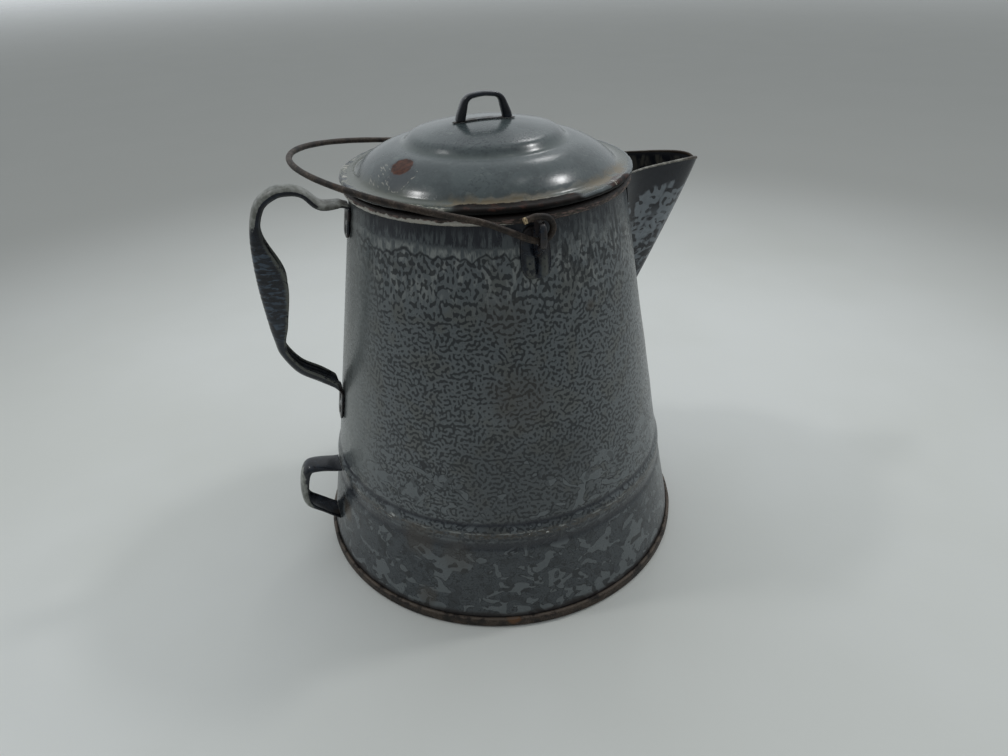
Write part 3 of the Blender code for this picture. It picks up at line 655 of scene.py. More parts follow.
# Enamel of the lip: a dark band at the top, a pale field eaten into by dark worms, and
# slanting streaks below; inside it is dark with earthy runs, and the rolled edge is worn
def lipEnamel():
    own = lipFinish
    f = Finish("lipEnamel", own)
    field = f.noise(62.0, 1.5, 0.45, shift=(2, 2, 5), distortion=0.6)
    worms = f.worms(own["wormSpacing"])
    fine = f.noise(300.0, 3.0, 0.6)
    broad = 1 - f.spot(own["field"], own["fieldRadius"], 0.5, 120.0, 0.5)
    pale = f.ramp(field + (worms - 0.5) * 0.30 - broad * 0.22, 0.35, 0.44)
    middle = f.ramp(f.z + (fine - 0.5) * 0.006, *own["darkTop"])
    high = f.ramp(f.z, *own["paleFrom"])
    f.base = f.mix(fine * 0.45, "navy", "slate")
    f.over(pale * middle * high * 0.95, f.mix(fine * 0.5, "gray", "slate"))
    f.over(f.ramp(worms, 0.45, 0.40) * middle * 0.92, "navy")
    slant = f.noise(210.0, 2.0, 0.5, (0.5, 1, 0.9), (3, 0, 2), distortion=0.8)
    lower = f.ramp(f.z, *own["streaksBelow"]) * f.ramp(slant, 0.48, 0.60)
    f.over(lower * 0.7, "gray")
    runs = f.ramp(f.noise(240.0, 2.0, 0.5, (1, 1, 0.30), (3, 0, 0), distortion=0.6), 0.42, 0.60)
    f.over(f.attribute("inside") * 0.6, "navy")
    f.over(f.attribute("inside") * runs * 0.75, "earth")
    rim = f.attribute("rim")
    tip = f.ramp(f.x, *own["tip"])
    bare = f.mix(f.ramp(fine, 0.40, 0.60), "edge", "earth")
    bare = f.mix(f.ramp(f.y, *own["rustyRim"]) * 0.85, bare, "rust")
    bare = f.mix(tip * 0.8, bare, "rust")
    rubbed = f.ramp(rim + (f.noise(260.0, 3.0, 0.6) - 0.5) * 0.5, 0.30, 0.55)
    f.over(rubbed, bare)
    f.set(Base_Color=f.base, Roughness=own["roughness"] + rubbed * 0.2)
    f.shader.inputs["IOR"].default_value = own["coatIndex"]
    f.bump(f.noise(110.0) * 0.8 + worms * 0.15, 0.0005, 0.30)
    return f.material


steelFinish = {
    "dark": (34, 29, 26), "brown": (66, 54, 45), "orange": (104, 72, 46),
    "bright": (210, 190, 150), "shine": (104, 94, 84), "seamSpot": (-0.0299, -0.1207, 0.0063),
    "seamTopHighlight": (0.0054, 0.0062),
}


# Rusted steel of the seam, the wire and the bail: brown clouds, orange spots, rubbed shine, and on the seam a
# painted highlight along its top
def rustedSteel(name, end=None, shine=0.5, orange=0.3):
    own = steelFinish
    f = Finish(name, own)
    cloud = f.noise(120.0, 4.0, 0.65)
    grit = f.noise(900.0, 3.0, 0.6)
    f.base = f.mix(f.ramp(cloud, 0.36, 0.64), "dark", "brown")
    red = f.ramp(f.noise(70.0, 3.0, 0.6, shift=(4, 4, 0)), 0.60, 0.72)
    f.over(red * orange, "orange")
    rubbed = f.ramp(grit + cloud * 0.5, 0.76, 0.92) * shine
    f.over(rubbed, "shine")
    rough = 0.52 - rubbed * 0.20 + grit * 0.15
    metal = 0.30 + rubbed * 0.3
    if end is None:
        spot = f.spot(own["seamSpot"], 0.0040, 0.4)
        f.over(spot, "orange")
        # Painted highlight: a broken pale line along the top of the seam
        top = f.ramp(f.z, *own["seamTopHighlight"]) * f.ramp(cloud, 0.42, 0.52)
        f.over(top * 0.6, "shine")
    else:
        cut = f.spot(end, 0.0021, 0.10, 900.0, 0.08)
        f.over(cut, f.mix(f.ramp(grit, 0.35, 0.65), "bright", "orange"))
        metal = metal * (1 - cut)
    f.set(Base_Color=f.base, Roughness=rough, Metallic=metal)
    f.bump(cloud + grit * 0.5, 0.0006, 0.50)
    return f.material


bodyMaterial = bodyEnamel()
lidMaterial = lidEnamel()
handleMaterial = darkEnamel("handleEnamel", 0.85)
trimMaterial = darkEnamel("trimEnamel", 0.0)
lipMaterial = lipEnamel()
seamMaterial = rustedSteel("seamSteel", None, 0.5, 0.25)
print("materials made")

bodySettings = {
    "around": 256, "curlSteps": 30, "spacing": 0.0016, "soften": 0.0011, "unevenness": 0.00022,
    "chipDepth": 0.00022, "beadRise": 0.0013, "fineMiddle": 0.062, "fineReach": 0.016, "coarseStep": 3,
    # Where the unevenness fades out, by height and by angle from the back, and where the chips are
    "calmFoot": (0.010, 0.040), "calmRim": (0.236, 0.215), "calmBack": (0.10, 0.35),
    "chipHeights": (0.2385, 0.2400), "chipRadii": (0.0800, 0.0812),
    "beadShares": [(1.0, 0.0), (0.94, -0.3), (0.78, 0.7), (0.65, 1.0), (0.49, 0.8), (0.27, 0.35),
                   (0.09, -0.2), (0.0, 0.3)],
    "holeRadius": 0.0019, "holePitch": 0.0075, "holeRise": 0.0115, "holeDrop": 0.0186,
    "holeRows": (5, 4, 3, 2, 1), "holeDepth": 0.006, "rivetHole": 0.0021,
}


# Holes square to the wall: a fan of short cylinders, strainer rows in front and rivet holes behind
def bodyCutter():
    own = bodySettings
    places = []
    for row, count in enumerate(own["holeRows"]):
        z = rimHeight - own["holeDrop"] - own["holeRise"] * row
        places += [((i - (count - 1) / 2) * own["holePitch"] / wall(z), z, own["holeRadius"])
                   for i in range(count)]
    places += [(math.pi, z, own["rivetHole"]) for z in rivetHeights]
    form = bmesh.new()
    for azimuth, z, radius in places:
        out = Vector((math.cos(azimuth), math.sin(azimuth), 0.0))
        normal = out * math.cos(wallSlope) + Vector((0.0, 0.0, math.sin(wallSlope)))
        turn = normal.to_track_quat("Z", "Y").to_matrix().to_4x4()
        place = Matrix.Translation(out * wall(z) + Vector((0.0, 0.0, z))) @ turn
        bmesh.ops.create_cone(form, cap_ends=True, segments=20, radius1=radius, radius2=radius,
                              depth=own["holeDepth"], matrix=place)
    mesh = bpy.data.meshes.new("holes")
    form.to_mesh(mesh)
    form.free()
    return mesh


# The mesh with the cutter's cylinders taken out of it
def drilled(mesh, cutterMesh):
    thing = addObject("drilled", mesh)
    cutter = addObject("cutter", cutterMesh)
    boolean = thing.modifiers.new("holes", "BOOLEAN")
    boolean.operation = "DIFFERENCE"
    boolean.solver = "EXACT"
    boolean.object = cutter
    result = takeMesh(thing)
    bpy.data.objects.remove(cutter, do_unlink=True)
    return result


# Body: curl round the rim wire, cone, bead and skirt; the other face is the same line a sheet away
def makeBody():
    own = bodySettings
    curl = arc(rimRollRadius, rimHeight, rollRadius, math.radians(-95), math.pi, own["curlSteps"])
    bead = [(skirtTopRadius + (beadRadius - skirtTopRadius) * share + own["beadRise"] * rise,
             beadBottom + (beadTop - beadBottom) * share) for share, rise in own["beadShares"]]
    bead = smoothLine(bead, 6)
    below = np.array([(skirtRadius, seamHeight + seamCorner), (skirtRadius, seamCorner)])
    side = softened(np.vstack([curl[-1:], bead, below]), own["spacing"] / 2, own["soften"])
    keep = np.abs(side[:, 1] - own["fineMiddle"]) < own["fineReach"]
    keep[::own["coarseStep"]] = True
    keep[-1] = True
    outer = np.vstack([curl[:-1], side[keep]])
    grid = sheetGrid(outer, -sheet, own["around"])
    azimuth, radius, z = polar(grid)
    back = np.abs(np.abs(azimuth) - math.pi)
    free = step(z, *own["calmFoot"]) * step(z, *own["calmRim"]) * step(back, *own["calmBack"])
    change = own["unevenness"] * free * waves(azimuth, z, 11, (2, 9), 90.0)
    change += 0.4 * own["unevenness"] * free * waves(azimuth, z, 12, (12, 30), 260.0)
    outside = np.arange(grid.shape[1]) >= len(outer)
    chipped = outside * step(z, *own["chipHeights"]) * step(radius, *own["chipRadii"])
    chips = np.tanh(2.2 * waves(azimuth, z, 13, (20, 90), 900.0)) - 0.6
    change += own["chipDepth"] * chipped * np.minimum(chips, 0.0)
    moveOut(grid, azimuth, change)
    mesh = gridMesh("bodySide", grid, True, True)
    weld(mesh)
    mesh = drilled(mesh, bodyCutter())
    mesh.name = "bodySide"
    addPiece(mesh, "kettle", "body_shell", "body_enamel", bodyMaterial, 38)


makeBody()
print("body made")

panSettings = {
    "around": 224, "floorHeight": 0.0040, "unevenness": 0.00012,
    "unevenRadii": (skirtRadius + 0.0012, skirtRadius + 0.0026), "unevenHeights": (0.0008, 0.0018),
}


# Bottom pan: rolled seam round the skirt's edge, then the raised floor
def makePan():
    own = panSettings
    c = seamCorner
    outer = seamRadius - c
    inner = skirtRadius - 2 * sheet - gap
    rollEnd = math.acos((skirtRadius + gap - outer) / c)
    line = np.vstack([
        arc(outer, seamHeight - c, c, rollEnd, 0.0, 14),
        arc(outer, c, c, 0.0, -math.pi / 2, 9),
        arc(inner + c, c, c, -math.pi / 2, -math.pi, 9),
        arc(inner - c, own["floorHeight"] - c, c, 0.0, math.pi / 2, 7),
        np.linspace((inner - 2 * c, own["floorHeight"]), (0.0, own["floorHeight"]), 26)])
    line = line[np.r_[True, np.linalg.norm(np.diff(line, axis=0), axis=1) > 1e-7]]
    grid = sheetGrid(line, -sheet, own["around"])
    azimuth, radius, z = polar(grid)
    change = own["unevenness"] * (waves(azimuth, z, 21, (5, 60), 200.0) - 1.0)
    change *= step(radius, *own["unevenRadii"]) * step(z, *own["unevenHeights"])
    moveOut(grid, azimuth, change)
    addPiece(gridMesh("pan", grid, True, True), "kettle", "bottom_pan", "seam_steel", seamMaterial, 50)


makePan()
print("pan made")

lidSettings = {
    "around": 256, "crownRadius": 0.0420, "crownRise": 0.0054, "stepRun": 0.0050, "stepDrop": 0.0049,
    "domeDrop": 0.0125, "domePower": 1.88, "edgeDrop": 0.0012,
    "rollRadius": 0.0016, "radius": 0.0841, "soften": 0.0017, "spacing": 0.0008,
    "footRadius": 0.0752, "flangeSag": 0.0003, "unevenness": 0.00012, "chipDepth": 0.00020,
    "rustRadii": (0.0068, 0.0056), "rustDepth": 0.00022, "domeLift": 0.0002, "flangeRun": 0.0035,
    "rollRun": 0.0004, "rollEnd": math.radians(-150), "chipRadii": (0.0815, 0.0828),
    "calmMiddle": (0.004, 0.030), "calmEdge": (0.0800, 0.0720),
}
lidRollHeight = collarTop + gap + lidSettings["rollRadius"]
lidRollCentre = lidSettings["radius"] - lidSettings["rollRadius"]
domeEdgeHeight = lidRollHeight + lidSettings["rollRadius"] + lidSettings["edgeDrop"]
domeTopHeight = domeEdgeHeight + lidSettings["domeDrop"]
lidTop = domeTopHeight + lidSettings["stepDrop"] + lidSettings["crownRise"]
crownSphere = (lidSettings["crownRadius"] ** 2 / lidSettings["crownRise"] + lidSettings["crownRise"]) / 2


# Lid: spherical crown, soft step, dome whose drop grows as share^1.88 and a little faster at its
# edge, a narrow flange that sags a little, and the rolled edge
def makeLid():
    own = lidSettings
    crown = math.asin(own["crownRadius"] / crownSphere)
    top = arc(0.0, lidTop - crownSphere, crownSphere, math.pi / 2, math.pi / 2 - crown, 40)
    start = own["crownRadius"] + own["stepRun"]
    share = np.linspace(0.0, 1.0, 50)
    flangeTop = lidRollHeight + own["rollRadius"]
    dome = np.stack([start + (own["footRadius"] - start) * share,
                     domeTopHeight - (domeTopHeight - flangeTop - own["domeLift"])
                     * share ** own["domePower"] * (0.93 + 0.07 * share ** 6)], axis=1)
    upper = softened(np.vstack([top, dome[:44]]), own["spacing"], own["soften"])
    flange = np.array([(own["footRadius"] + own["flangeRun"], flangeTop - own["flangeSag"]),
                       (lidRollCentre - own["rollRun"], flangeTop)])
    lower = softened(np.vstack([upper[-1:], dome[44:], flange]), own["spacing"] / 2, own["soften"] / 1.7)
    roll = arc(lidRollCentre, lidRollHeight, own["rollRadius"], math.pi / 2, own["rollEnd"], 26)
    outer = np.vstack([upper[:-1], lower, roll])
    grid = sheetGrid(outer, -lidSheet, own["around"])
    azimuth, radius, z = polar(grid)
    middle = step(radius, *own["calmMiddle"]) * step(radius, *own["calmEdge"])
    grid[..., 2] += own["unevenness"] * middle * waves(azimuth, radius, 31, (2, 8), 120.0)
    top = np.arange(grid.shape[1]) < len(outer)
    x, y = (grid[..., axis] - lidFinish["rustSpot"][axis] for axis in (0, 1))
    torn = 1 + 0.12 * waves(6 * np.arctan2(y, x), z, 32, (1, 2), 5.0)
    away = np.hypot(lidFinish["spotStretch"] * x, y) * torn
    grid[..., 2] -= own["rustDepth"] * top * step(away, *own["rustRadii"])
    edge = top * step(radius, *own["chipRadii"])
    chips = np.tanh(2.0 * waves(azimuth, z, 33, (20, 80), 700.0)) - 0.6
    moveOut(grid, azimuth, own["chipDepth"] * edge * np.minimum(chips, 0.0))
    addPiece(gridMesh("lidDome", grid, True, True), "lid", "lid_shell", "lid_enamel", lidMaterial, 50)


makeLid()

collarSettings = {"around": 192, "fit": 0.0009, "depth": 0.0120, "corner": 0.0007, "flange": 0.0803}


# Collar under the lid: flat flange and a straight skirt inside the mouth
def makeCollar():
    own = collarSettings
    radius = rimRadius - sheet - own["fit"]
    low = rimTop - own["depth"]
    c = own["corner"]
    line = np.vstack([
        [(own["flange"], collarTop)],
        arc(radius - lidSheet + c, collarTop - c, c, math.pi / 2, math.pi, 8),
        np.linspace((radius - lidSheet, collarTop - 2 * c), (radius - lidSheet, low), 12)])
    grid = sheetGrid(line, lidSheet, own["around"])
    addPiece(gridMesh("lidCollar", grid, True, True), "lid", "lid_collar", "lid_enamel", lidMaterial, 40)


makeCollar()
print("lid made")

lipSettings = {
    "rows": 64, "columns": 72, "reach": 0.1410, "tipDrop": 0.0053, "height": 0.0893,
    "halfWidth": 0.0228, "flare": 0.0100, "rise": 0.0045, "inset": 0.0080, "widthPower": 0.8,
    "flarePower": 13, "rootShare": 0.05, "edgeRadius": 0.00100, "arch": 0.0022, "tipPull": 0.0022,
    "shareEnds": (0.006, 0.988), "edgeInset": 0.0003, "edgeTurn": (math.radians(-35), math.radians(215)),
    "edgePoints": 15,
}


# Outside of the body with a gap: the cone, and near the rim the circle of its roll
def bodyOutside(z):
    reach = rollRadius + sheet + gap
    lift = np.clip(np.abs(z - rimHeight), 0.0, reach)
    roll = np.where(np.abs(z - rimHeight) < reach, rimRollRadius + np.sqrt(reach ** 2 - lift ** 2), 0.0)
    return np.maximum(wall(z) + gap, roll)


# Lip: in each row x = base + (keel - base)(1 - t^2), and t stops where the row meets the body;
# the upper edge is arched between the tip and the body
def lipFace(share, across):
    own = lipSettings
    tipHeight = rimHeight - own["tipDrop"]
    rootHeight = tipHeight - own["height"]
    rootReach = wall(rootHeight)
    widthShare = ((share + own["rootShare"]) / (1 + own["rootShare"])) ** own["widthPower"]
    keelZ = rootHeight + (tipHeight - rootHeight) * share
    keelX = rootReach + (own["reach"] - rootReach) * share - sheet
    baseX = wall(keelZ) - own["inset"]
    x = baseX + (keelX - baseX) * (1 - across ** 2)
    y = widthShare * (own["halfWidth"] * across + own["flare"] * across ** own["flarePower"])
    high = np.maximum(share, 0.0) ** 3
    z = keelZ + own["rise"] * np.maximum(share, 0.0) ** 2 * np.abs(across) ** 1.2
    z = z + own["arch"] * high * np.sin(math.pi * np.abs(across) ** 0.8)
    x = x - own["tipPull"] * high ** 2 * np.exp(-(across / 0.25) ** 2)
    return x, y, z


def makeLip():
    own = lipSettings
    share = np.linspace(*own["shareEnds"], own["rows"])[:, None]
    trial = np.linspace(0.0, 1.0, 801)[None, :]
    x, y, z = lipFace(share, trial)
    outside = np.hypot(x, y) - bodyOutside(z)
    crossed = outside < 0
    first = np.where(crossed.any(axis=1), crossed.argmax(axis=1), 800)
    first = np.maximum(first, 1)
    rows = np.arange(own["rows"])
    before, after = outside[rows, first - 1], outside[rows, first]
    part = np.clip(before / np.where(before - after == 0, 1.0, before - after), 0.0, 1.0)
    limit = (trial[0, first - 1] + (trial[0, first] - trial[0, first - 1]) * part)[:, None]
    across = np.linspace(-1.0, 1.0, own["columns"])[None, :] * limit
    face = np.stack(lipFace(share, across), axis=2)
    alongShare = np.gradient(face, axis=0)
    normal = unit(np.cross(np.gradient(face, axis=1), alongShare))
    normal *= np.sign(normal[-1, own["columns"] // 2, 0])
    outer = face + normal * sheet
    up = unit(alongShare[-1])
    centre = (face[-1] + outer[-1]) / 2 - normal[-1] * own["edgeInset"]
    turn = np.linspace(*own["edgeTurn"], own["edgePoints"])[:, None, None]
    roll = centre[None] + own["edgeRadius"] * (np.cos(turn) * normal[-1][None] + np.sin(turn) * up[None])
    loop = np.vstack([outer, roll, face[::-1]])
    root = (loop[:1] + loop[-1:]) / 2
    loop = np.vstack([root, loop, root])
    row = np.arange(len(loop))[:, None] - own["rows"] + 0 * loop[..., 0]
    edgeEnd = own["edgePoints"] + 2
    closed = []
    for values in (loop, (row > 0) & (row < edgeEnd), row > edgeEnd):
        values = np.atleast_3d(values).astype(float)
        ends = (values + values[::-1]) / 2
        closed.append(np.hstack([ends[:, :1], values, ends[:, -1:]]))
    addPiece(gridMesh("lip", closed[0]), "kettle", "spout", "lip_enamel", lipMaterial, 50,
             rim=closed[1], inside=closed[2])


makeLip()
print("lip made")

handleStrap = 0.0015
handleSettings = {
    "reach": 0.0538, "crestOverRim": 0.0072, "bend": 0.0012, "width": 0.0155, "depth": 0.0159,
    "footWidth": 0.0132,
    "spacing": 0.0008, "soften": 0.0006, "sectionPoints": 33, "power": 2.4, "ribDepth": 0.00018,
    "upperBendTop": 0.0048, "roundEnd": 0.0060, "endCut": 0.0004,
    # Where the crown, the arms, the grip's ribs, the edges and the feet begin and end
    "wornHeights": (0.2160, 0.2440), "armHeights": (0.2360, 0.2390), "armReach": (0.0200, 0.0140),
    "lowArmHeights": (0.150, 0.125), "lowArmReach": (0.036, 0.020), "crownShares": (0.70, 0.85),
    "ribDepths": (0.0050, 0.0090), "ribSideShares": (0.45, -0.35), "ribHeights": (0.170, 0.150),
    "edgeHeights": (0.225, 0.215), "edgeReach": (0.004, 0.008), "footReach": (0.0060, 0.0035),
    "shares": [
        (0.11, 0.914, 0.90, 0.12), (0.255, 0.919, 0.90, 0.20), (0.335, 0.935, 0.87, 0.24),
        (0.46, 0.978, 0.80, 0.22), (0.61, 1.002, 0.80, 0.26), (0.80, 1.000, 0.80, 0.30),
        (0.965, 0.942, 0.78, 0.30), (1.01, 0.812, 0.84, 0.38), (0.955, 0.615, 0.99, 1.00),
        (0.845, 0.410, 0.95, 0.66), (0.780, 0.315, 0.90, 0.36), (0.722, 0.250, 0.88, 0.28),
        (0.54, 0.148, 0.92, 0.33), (0.30, 0.080, 0.96, 0.34), (0.13, 0.034, 0.96, 0.28)],
}


# A strap bent into a channel along rows of (r, z, width, depth), on the side away from the lip.
# Section: half a superellipse, the same line a strap further in, and round edges between them
def strapGrid(line, points, power, strap, ribDepth=0.0):
    turn = np.linspace(-math.pi / 2, math.pi / 2, points)
    side = signedPower(np.sin(turn), 2 / power)
    fall = 1 - np.abs(np.cos(turn)) ** (2 / power)
    outer = np.dstack([side * line[:, 2:3] / 2, fall * line[:, 3:4]])
    change = unit(np.gradient(outer, axis=1))
    left = np.dstack([-change[..., 1], change[..., 0]])
    inner = outer + left * strap
    cap = np.linspace(0.0, math.pi, 7)[1:-1][None, :, None]
    middle = (outer[:, -1:] + inner[:, -1:]) / 2
    endCap = middle + strap / 2 * (-np.cos(cap) * left[:, -1:] + np.sin(cap) * change[:, -1:])
    middle = (outer[:, :1] + inner[:, :1]) / 2
    startCap = middle + strap / 2 * (np.cos(cap) * left[:, :1] - np.sin(cap) * change[:, :1])
    section = np.concatenate([outer, endCap, inner[:, ::-1], startCap], axis=1)
    along = directions(line)
    inward = section[..., 1]
    # Ribs pressed across the strap, where it is deep
    if ribDepth:
        length = np.arange(len(line))[:, None] * 0.8
        lean = np.zeros(section.shape[1])
        lean[:points] = 0.9 * np.sin(2.0 * turn)
        ribs = np.cos(length * 2.3 + 1.6 * np.sin(length * 0.41) + lean)
        ribs = ribs * (0.6 + 0.4 * np.sin(length * 0.83 + 1))
        wide = np.zeros(section.shape[1])
        wide[:points] = np.cos(turn) ** 0.5 * (1 - 0.4 * np.cos(turn) ** 6)
        inward = inward - ribDepth * ribs * step(line[:, 3:4], 0.0045, 0.0085) * wide
    x, z = -line[:, :1] - along[:, 1:] * inward, line[:, 1:2] - along[:, :1] * inward
    return np.dstack([x, section[..., 0], z])


# Masks of a strap, the same in each section: 1 on its outer face, and 1 on its two edges
def strapMasks(points):
    column = np.arange(2 * points + 10)
    edges = (column == 0) | (abs(column - points - 2) < 4) | (column > 2 * points + 4)
    return 1.0 * (column < points), 1.0 * edges


# The first and the last row once more, for the masks of a grid whose ends are closed
def repeatEnds(values):
    return np.concatenate([values[:1], values, values[-1:]])


# Ends of a strap or wire closed on the middle of their last sections
def closeEnds(grid):
    closed = repeatEnds(grid)
    closed[0] = grid[0].mean(axis=0)
    closed[-1] = grid[-1].mean(axis=0)
    return closed


# The free part of a strap, from shares of its reach, height, width and depth
def freeLine(own, low, high):
    shares = smoothLine(own["shares"], 10)
    z = low + (high - low) * shares[:, 1]
    return np.stack([wall(z) + own["reach"] * shares[:, 0], z, own["width"] * shares[:, 2],
                     own["depth"] * shares[:, 3]], axis=1)


# A piece of dark enamel from a strap's or a loop's grid, with its ends closed
def addStrap(name, grid, body, node, material, sharp, **masks):
    masks = {mask: repeatEnds(values) for mask, values in masks.items()}
    mesh = gridMesh(name, closeEnds(grid), False, True)
    addPiece(mesh, body, node, "dark_enamel", material, sharp, **masks)


def makeHandle():
    own = handleSettings
    upperTop = rimHeight - upperFootDrop
    crest = rimHeight + own["crestOverRim"]
    rows = [(wall(z) + gap, z, own["footWidth"], 0.0)
            for z in np.linspace(upperTop - upperFootLength, upperTop + own["upperBendTop"] / 2, 7)]
    free = freeLine(own, lowerFootTop, crest)
    bendR = wall(lowerFootTop) + gap + handleStrap + own["bend"]
    bend = arc(bendR, lowerFootTop, own["bend"], 3 * math.pi / 4, math.pi, 6)
    bend = np.hstack([bend, np.tile([own["footWidth"], 0.0], (6, 1))])
    low = [(wall(z) + gap + handleStrap, z, own["footWidth"], 0.0)
           for z in np.linspace(lowerFootTop, lowerFootTop - lowerFootLength, 7)[1:]]
    line = softened(np.vstack([rows, free, bend, low]), own["spacing"], own["soften"])
    distance = np.arange(len(line)) * own["spacing"]
    for away in (distance, distance[::-1]):
        line[:, 2] *= (1 - np.clip(1 - (away + own["endCut"]) / own["roundEnd"], 0.0, 1.0) ** 3) ** (1 / 3)
    grid = strapGrid(line, own["sectionPoints"], own["power"], handleStrap, own["ribDepth"])
    face, rim = strapMasks(own["sectionPoints"])
    height = line[:, 1:2]
    reach = line[:, 0:1] - wall(height)
    across = np.abs(np.linspace(-1.0, 1.0, own["sectionPoints"]))
    crown = face.copy()
    crown[:own["sectionPoints"]] -= step(across, *own["crownShares"])
    arm = step(height, *own["armHeights"]) * step(reach, *own["armReach"]) * face
    lowArm = step(height, *own["lowArmHeights"]) * step(reach, *own["lowArmReach"]) * crown
    worn = step(height, *own["wornHeights"]) * crown * 0.95 + arm * 0.8 + lowArm * 0.40
    side = step(grid[..., 1] / (own["width"] / 2), *own["ribSideShares"])
    ribbed = face * step(line[:, 3:4], *own["ribDepths"])
    ribbed = ribbed * (0.35 + 0.65 * side + 0.3 * step(height, *own["ribHeights"]))
    edges = rim * (step(height, *own["edgeHeights"]) * 0.8 + 0.3) * step(reach, *own["edgeReach"])
    addStrap("backHandle", grid, "kettle", "main_handle", handleMaterial, 46, worn=np.clip(worn, 0.0, 1.0),
             rim=edges, ribbed=ribbed, rusty=0.7 * step(reach, *own["footReach"]) + 0.45 * arm)


makeHandle()

rivetSettings = {
    "headRadius": 0.0030, "headRise": 0.0006, "shank": 0.0018, "tailRadius": 0.0030,
    "tailRise": 0.0012, "around": 40,
}


# Rivet: low domed head on the strap, shank through it, flat tail inside the wall
def makeRivet(node, name, height):
    own = rivetSettings
    head = handleStrap + gap
    turn = np.linspace(math.pi / 2, 0.0, 9)
    line = np.stack([own["headRadius"] * np.cos(turn), head + own["headRise"] * np.sin(turn)], axis=1)
    line[0, 0] = 0.0
    tail = -sheet - gap
    end = tail - own["tailRise"]
    line = np.vstack([line, [(own["shank"], head), (own["shank"], tail), (own["tailRadius"], tail),
                             (own["tailRadius"], tail - own["tailRise"] * 0.6),
                             (own["tailRadius"] * 0.85, end), (0.0, end)]])
    grid = turnedGrid(line, own["around"])
    out = Vector((-math.cos(wallSlope), 0.0, math.sin(wallSlope)))
    turned = np.array(out.to_track_quat("Z", "Y").to_matrix())
    grid = grid @ turned.T + np.array([-wall(height), 0.0, height])
    mesh = gridMesh(name, grid, True)
    addPiece(mesh, "kettle", node, "dark_enamel", trimMaterial, 40, worn=0.45, rusty=0.5)


rivetPlaces = [(foot, end) for foot in ("upper", "lower") for end in ("high", "low")]
for (foot, end), height in zip(rivetPlaces, rivetHeights):
    makeRivet(f"rivet_{foot}_{end}", f"rivet{foot}-{end}", height)
print("back handle made")

tippingSettings = {
    "reach": 0.0274, "bottom": 0.0190, "top": 0.0660, "width": 0.0180, "depth": 0.0040,
    "spacing": 0.0007, "soften": 0.0006, "sectionPoints": 29, "power": 2.4, "turn": math.radians(1.8),
    "crownReach": (0.1330, 0.1400), "wornHeights": (0.020, 0.032), "lowHeights": (0.040, 0.030),
    "rustHeights": (0.034, 0.022), "rustReach": (0.128, 0.118),
    "shares": [
        (-0.12, 0.925, 1.0, 0.05), (0.15, 0.955, 0.96, 0.25), (0.42, 1.010, 0.90, 0.50),
        (0.69, 1.050, 0.84, 0.80), (0.86, 1.045, 0.80, 1.00), (0.955, 0.970, 0.80, 1.00),
        (0.995, 0.84, 0.80, 1.00), (1.000, 0.68, 0.80, 1.00), (0.975, 0.54, 0.82, 1.00),
        (0.915, 0.42, 0.84, 1.00), (0.79, 0.33, 0.88, 0.90), (0.50, 0.225, 0.94, 0.55),
        (0.20, 0.110, 1.0, 0.25), (-0.12, -0.015, 1.0, 0.10)],
}


# Outside of the body below the bead, by height: the bead's line and the skirt's, with a gap
def lowerOutside(z):
    own = bodySettings
    share = np.array([row[0] for row in own["beadShares"]])
    rise = np.array([row[1] for row in own["beadShares"]])
    r = skirtTopRadius + (beadRadius - skirtTopRadius) * share + own["beadRise"] * rise
    heights = beadBottom + (beadTop - beadBottom) * share
    heights = np.r_[0.30, heights, seamHeight + seamCorner, 0.0][::-1]
    radii = np.r_[wall(0.30), r, skirtRadius, skirtRadius][::-1]
    return np.interp(z, heights, radii) + gap


# Tipping handle: the same kind of strap; each of its lines is cut where it meets the body
def makeTippingHandle():
    own = tippingSettings
    line = softened(freeLine(own, own["bottom"], own["top"]), own["spacing"], own["soften"])
    grid = strapGrid(line, own["sectionPoints"], own["power"], strap)
    turned = np.array(Matrix.Rotation(own["turn"], 3, "Z"))
    grid = grid @ turned.T
    clear = np.hypot(grid[..., 0], grid[..., 1]) - lowerOutside(grid[..., 2])
    rows, columns = clear.shape
    free = clear > 0
    start = free.argmax(axis=0)
    stop = rows - 1 - free[::-1].argmax(axis=0)
    column = np.arange(columns)
    low = start - clear[start, column] / (clear[start, column] - clear[start - 1, column])
    high = stop + clear[stop, column] / (clear[stop, column] - clear[stop + 1, column])
    places = low + (high - low) * np.linspace(0.0, 1.0, rows)[:, None]
    base = np.clip(places.astype(int), 0, rows - 2)
    part = (places - base)[..., None]
    grid = grid[base, column[None]] * (1 - part) + grid[base + 1, column[None]] * part
    face, rim = strapMasks(own["sectionPoints"])
    reach, height = -grid[..., 0], grid[..., 2]
    crown = step(reach, *own["crownReach"])
    worn = face * (crown * step(height, *own["wornHeights"]) * 0.9 + 0.35 * step(height, *own["lowHeights"]))
    addStrap("tippingHandle", grid, "kettle", "tipping_handle", trimMaterial, 46, worn=worn,
             rim=rim * crown * 0.6, rusty=step(height, *own["rustHeights"]) * step(reach, *own["rustReach"]))


makeTippingHandle()
print("tipping handle made")

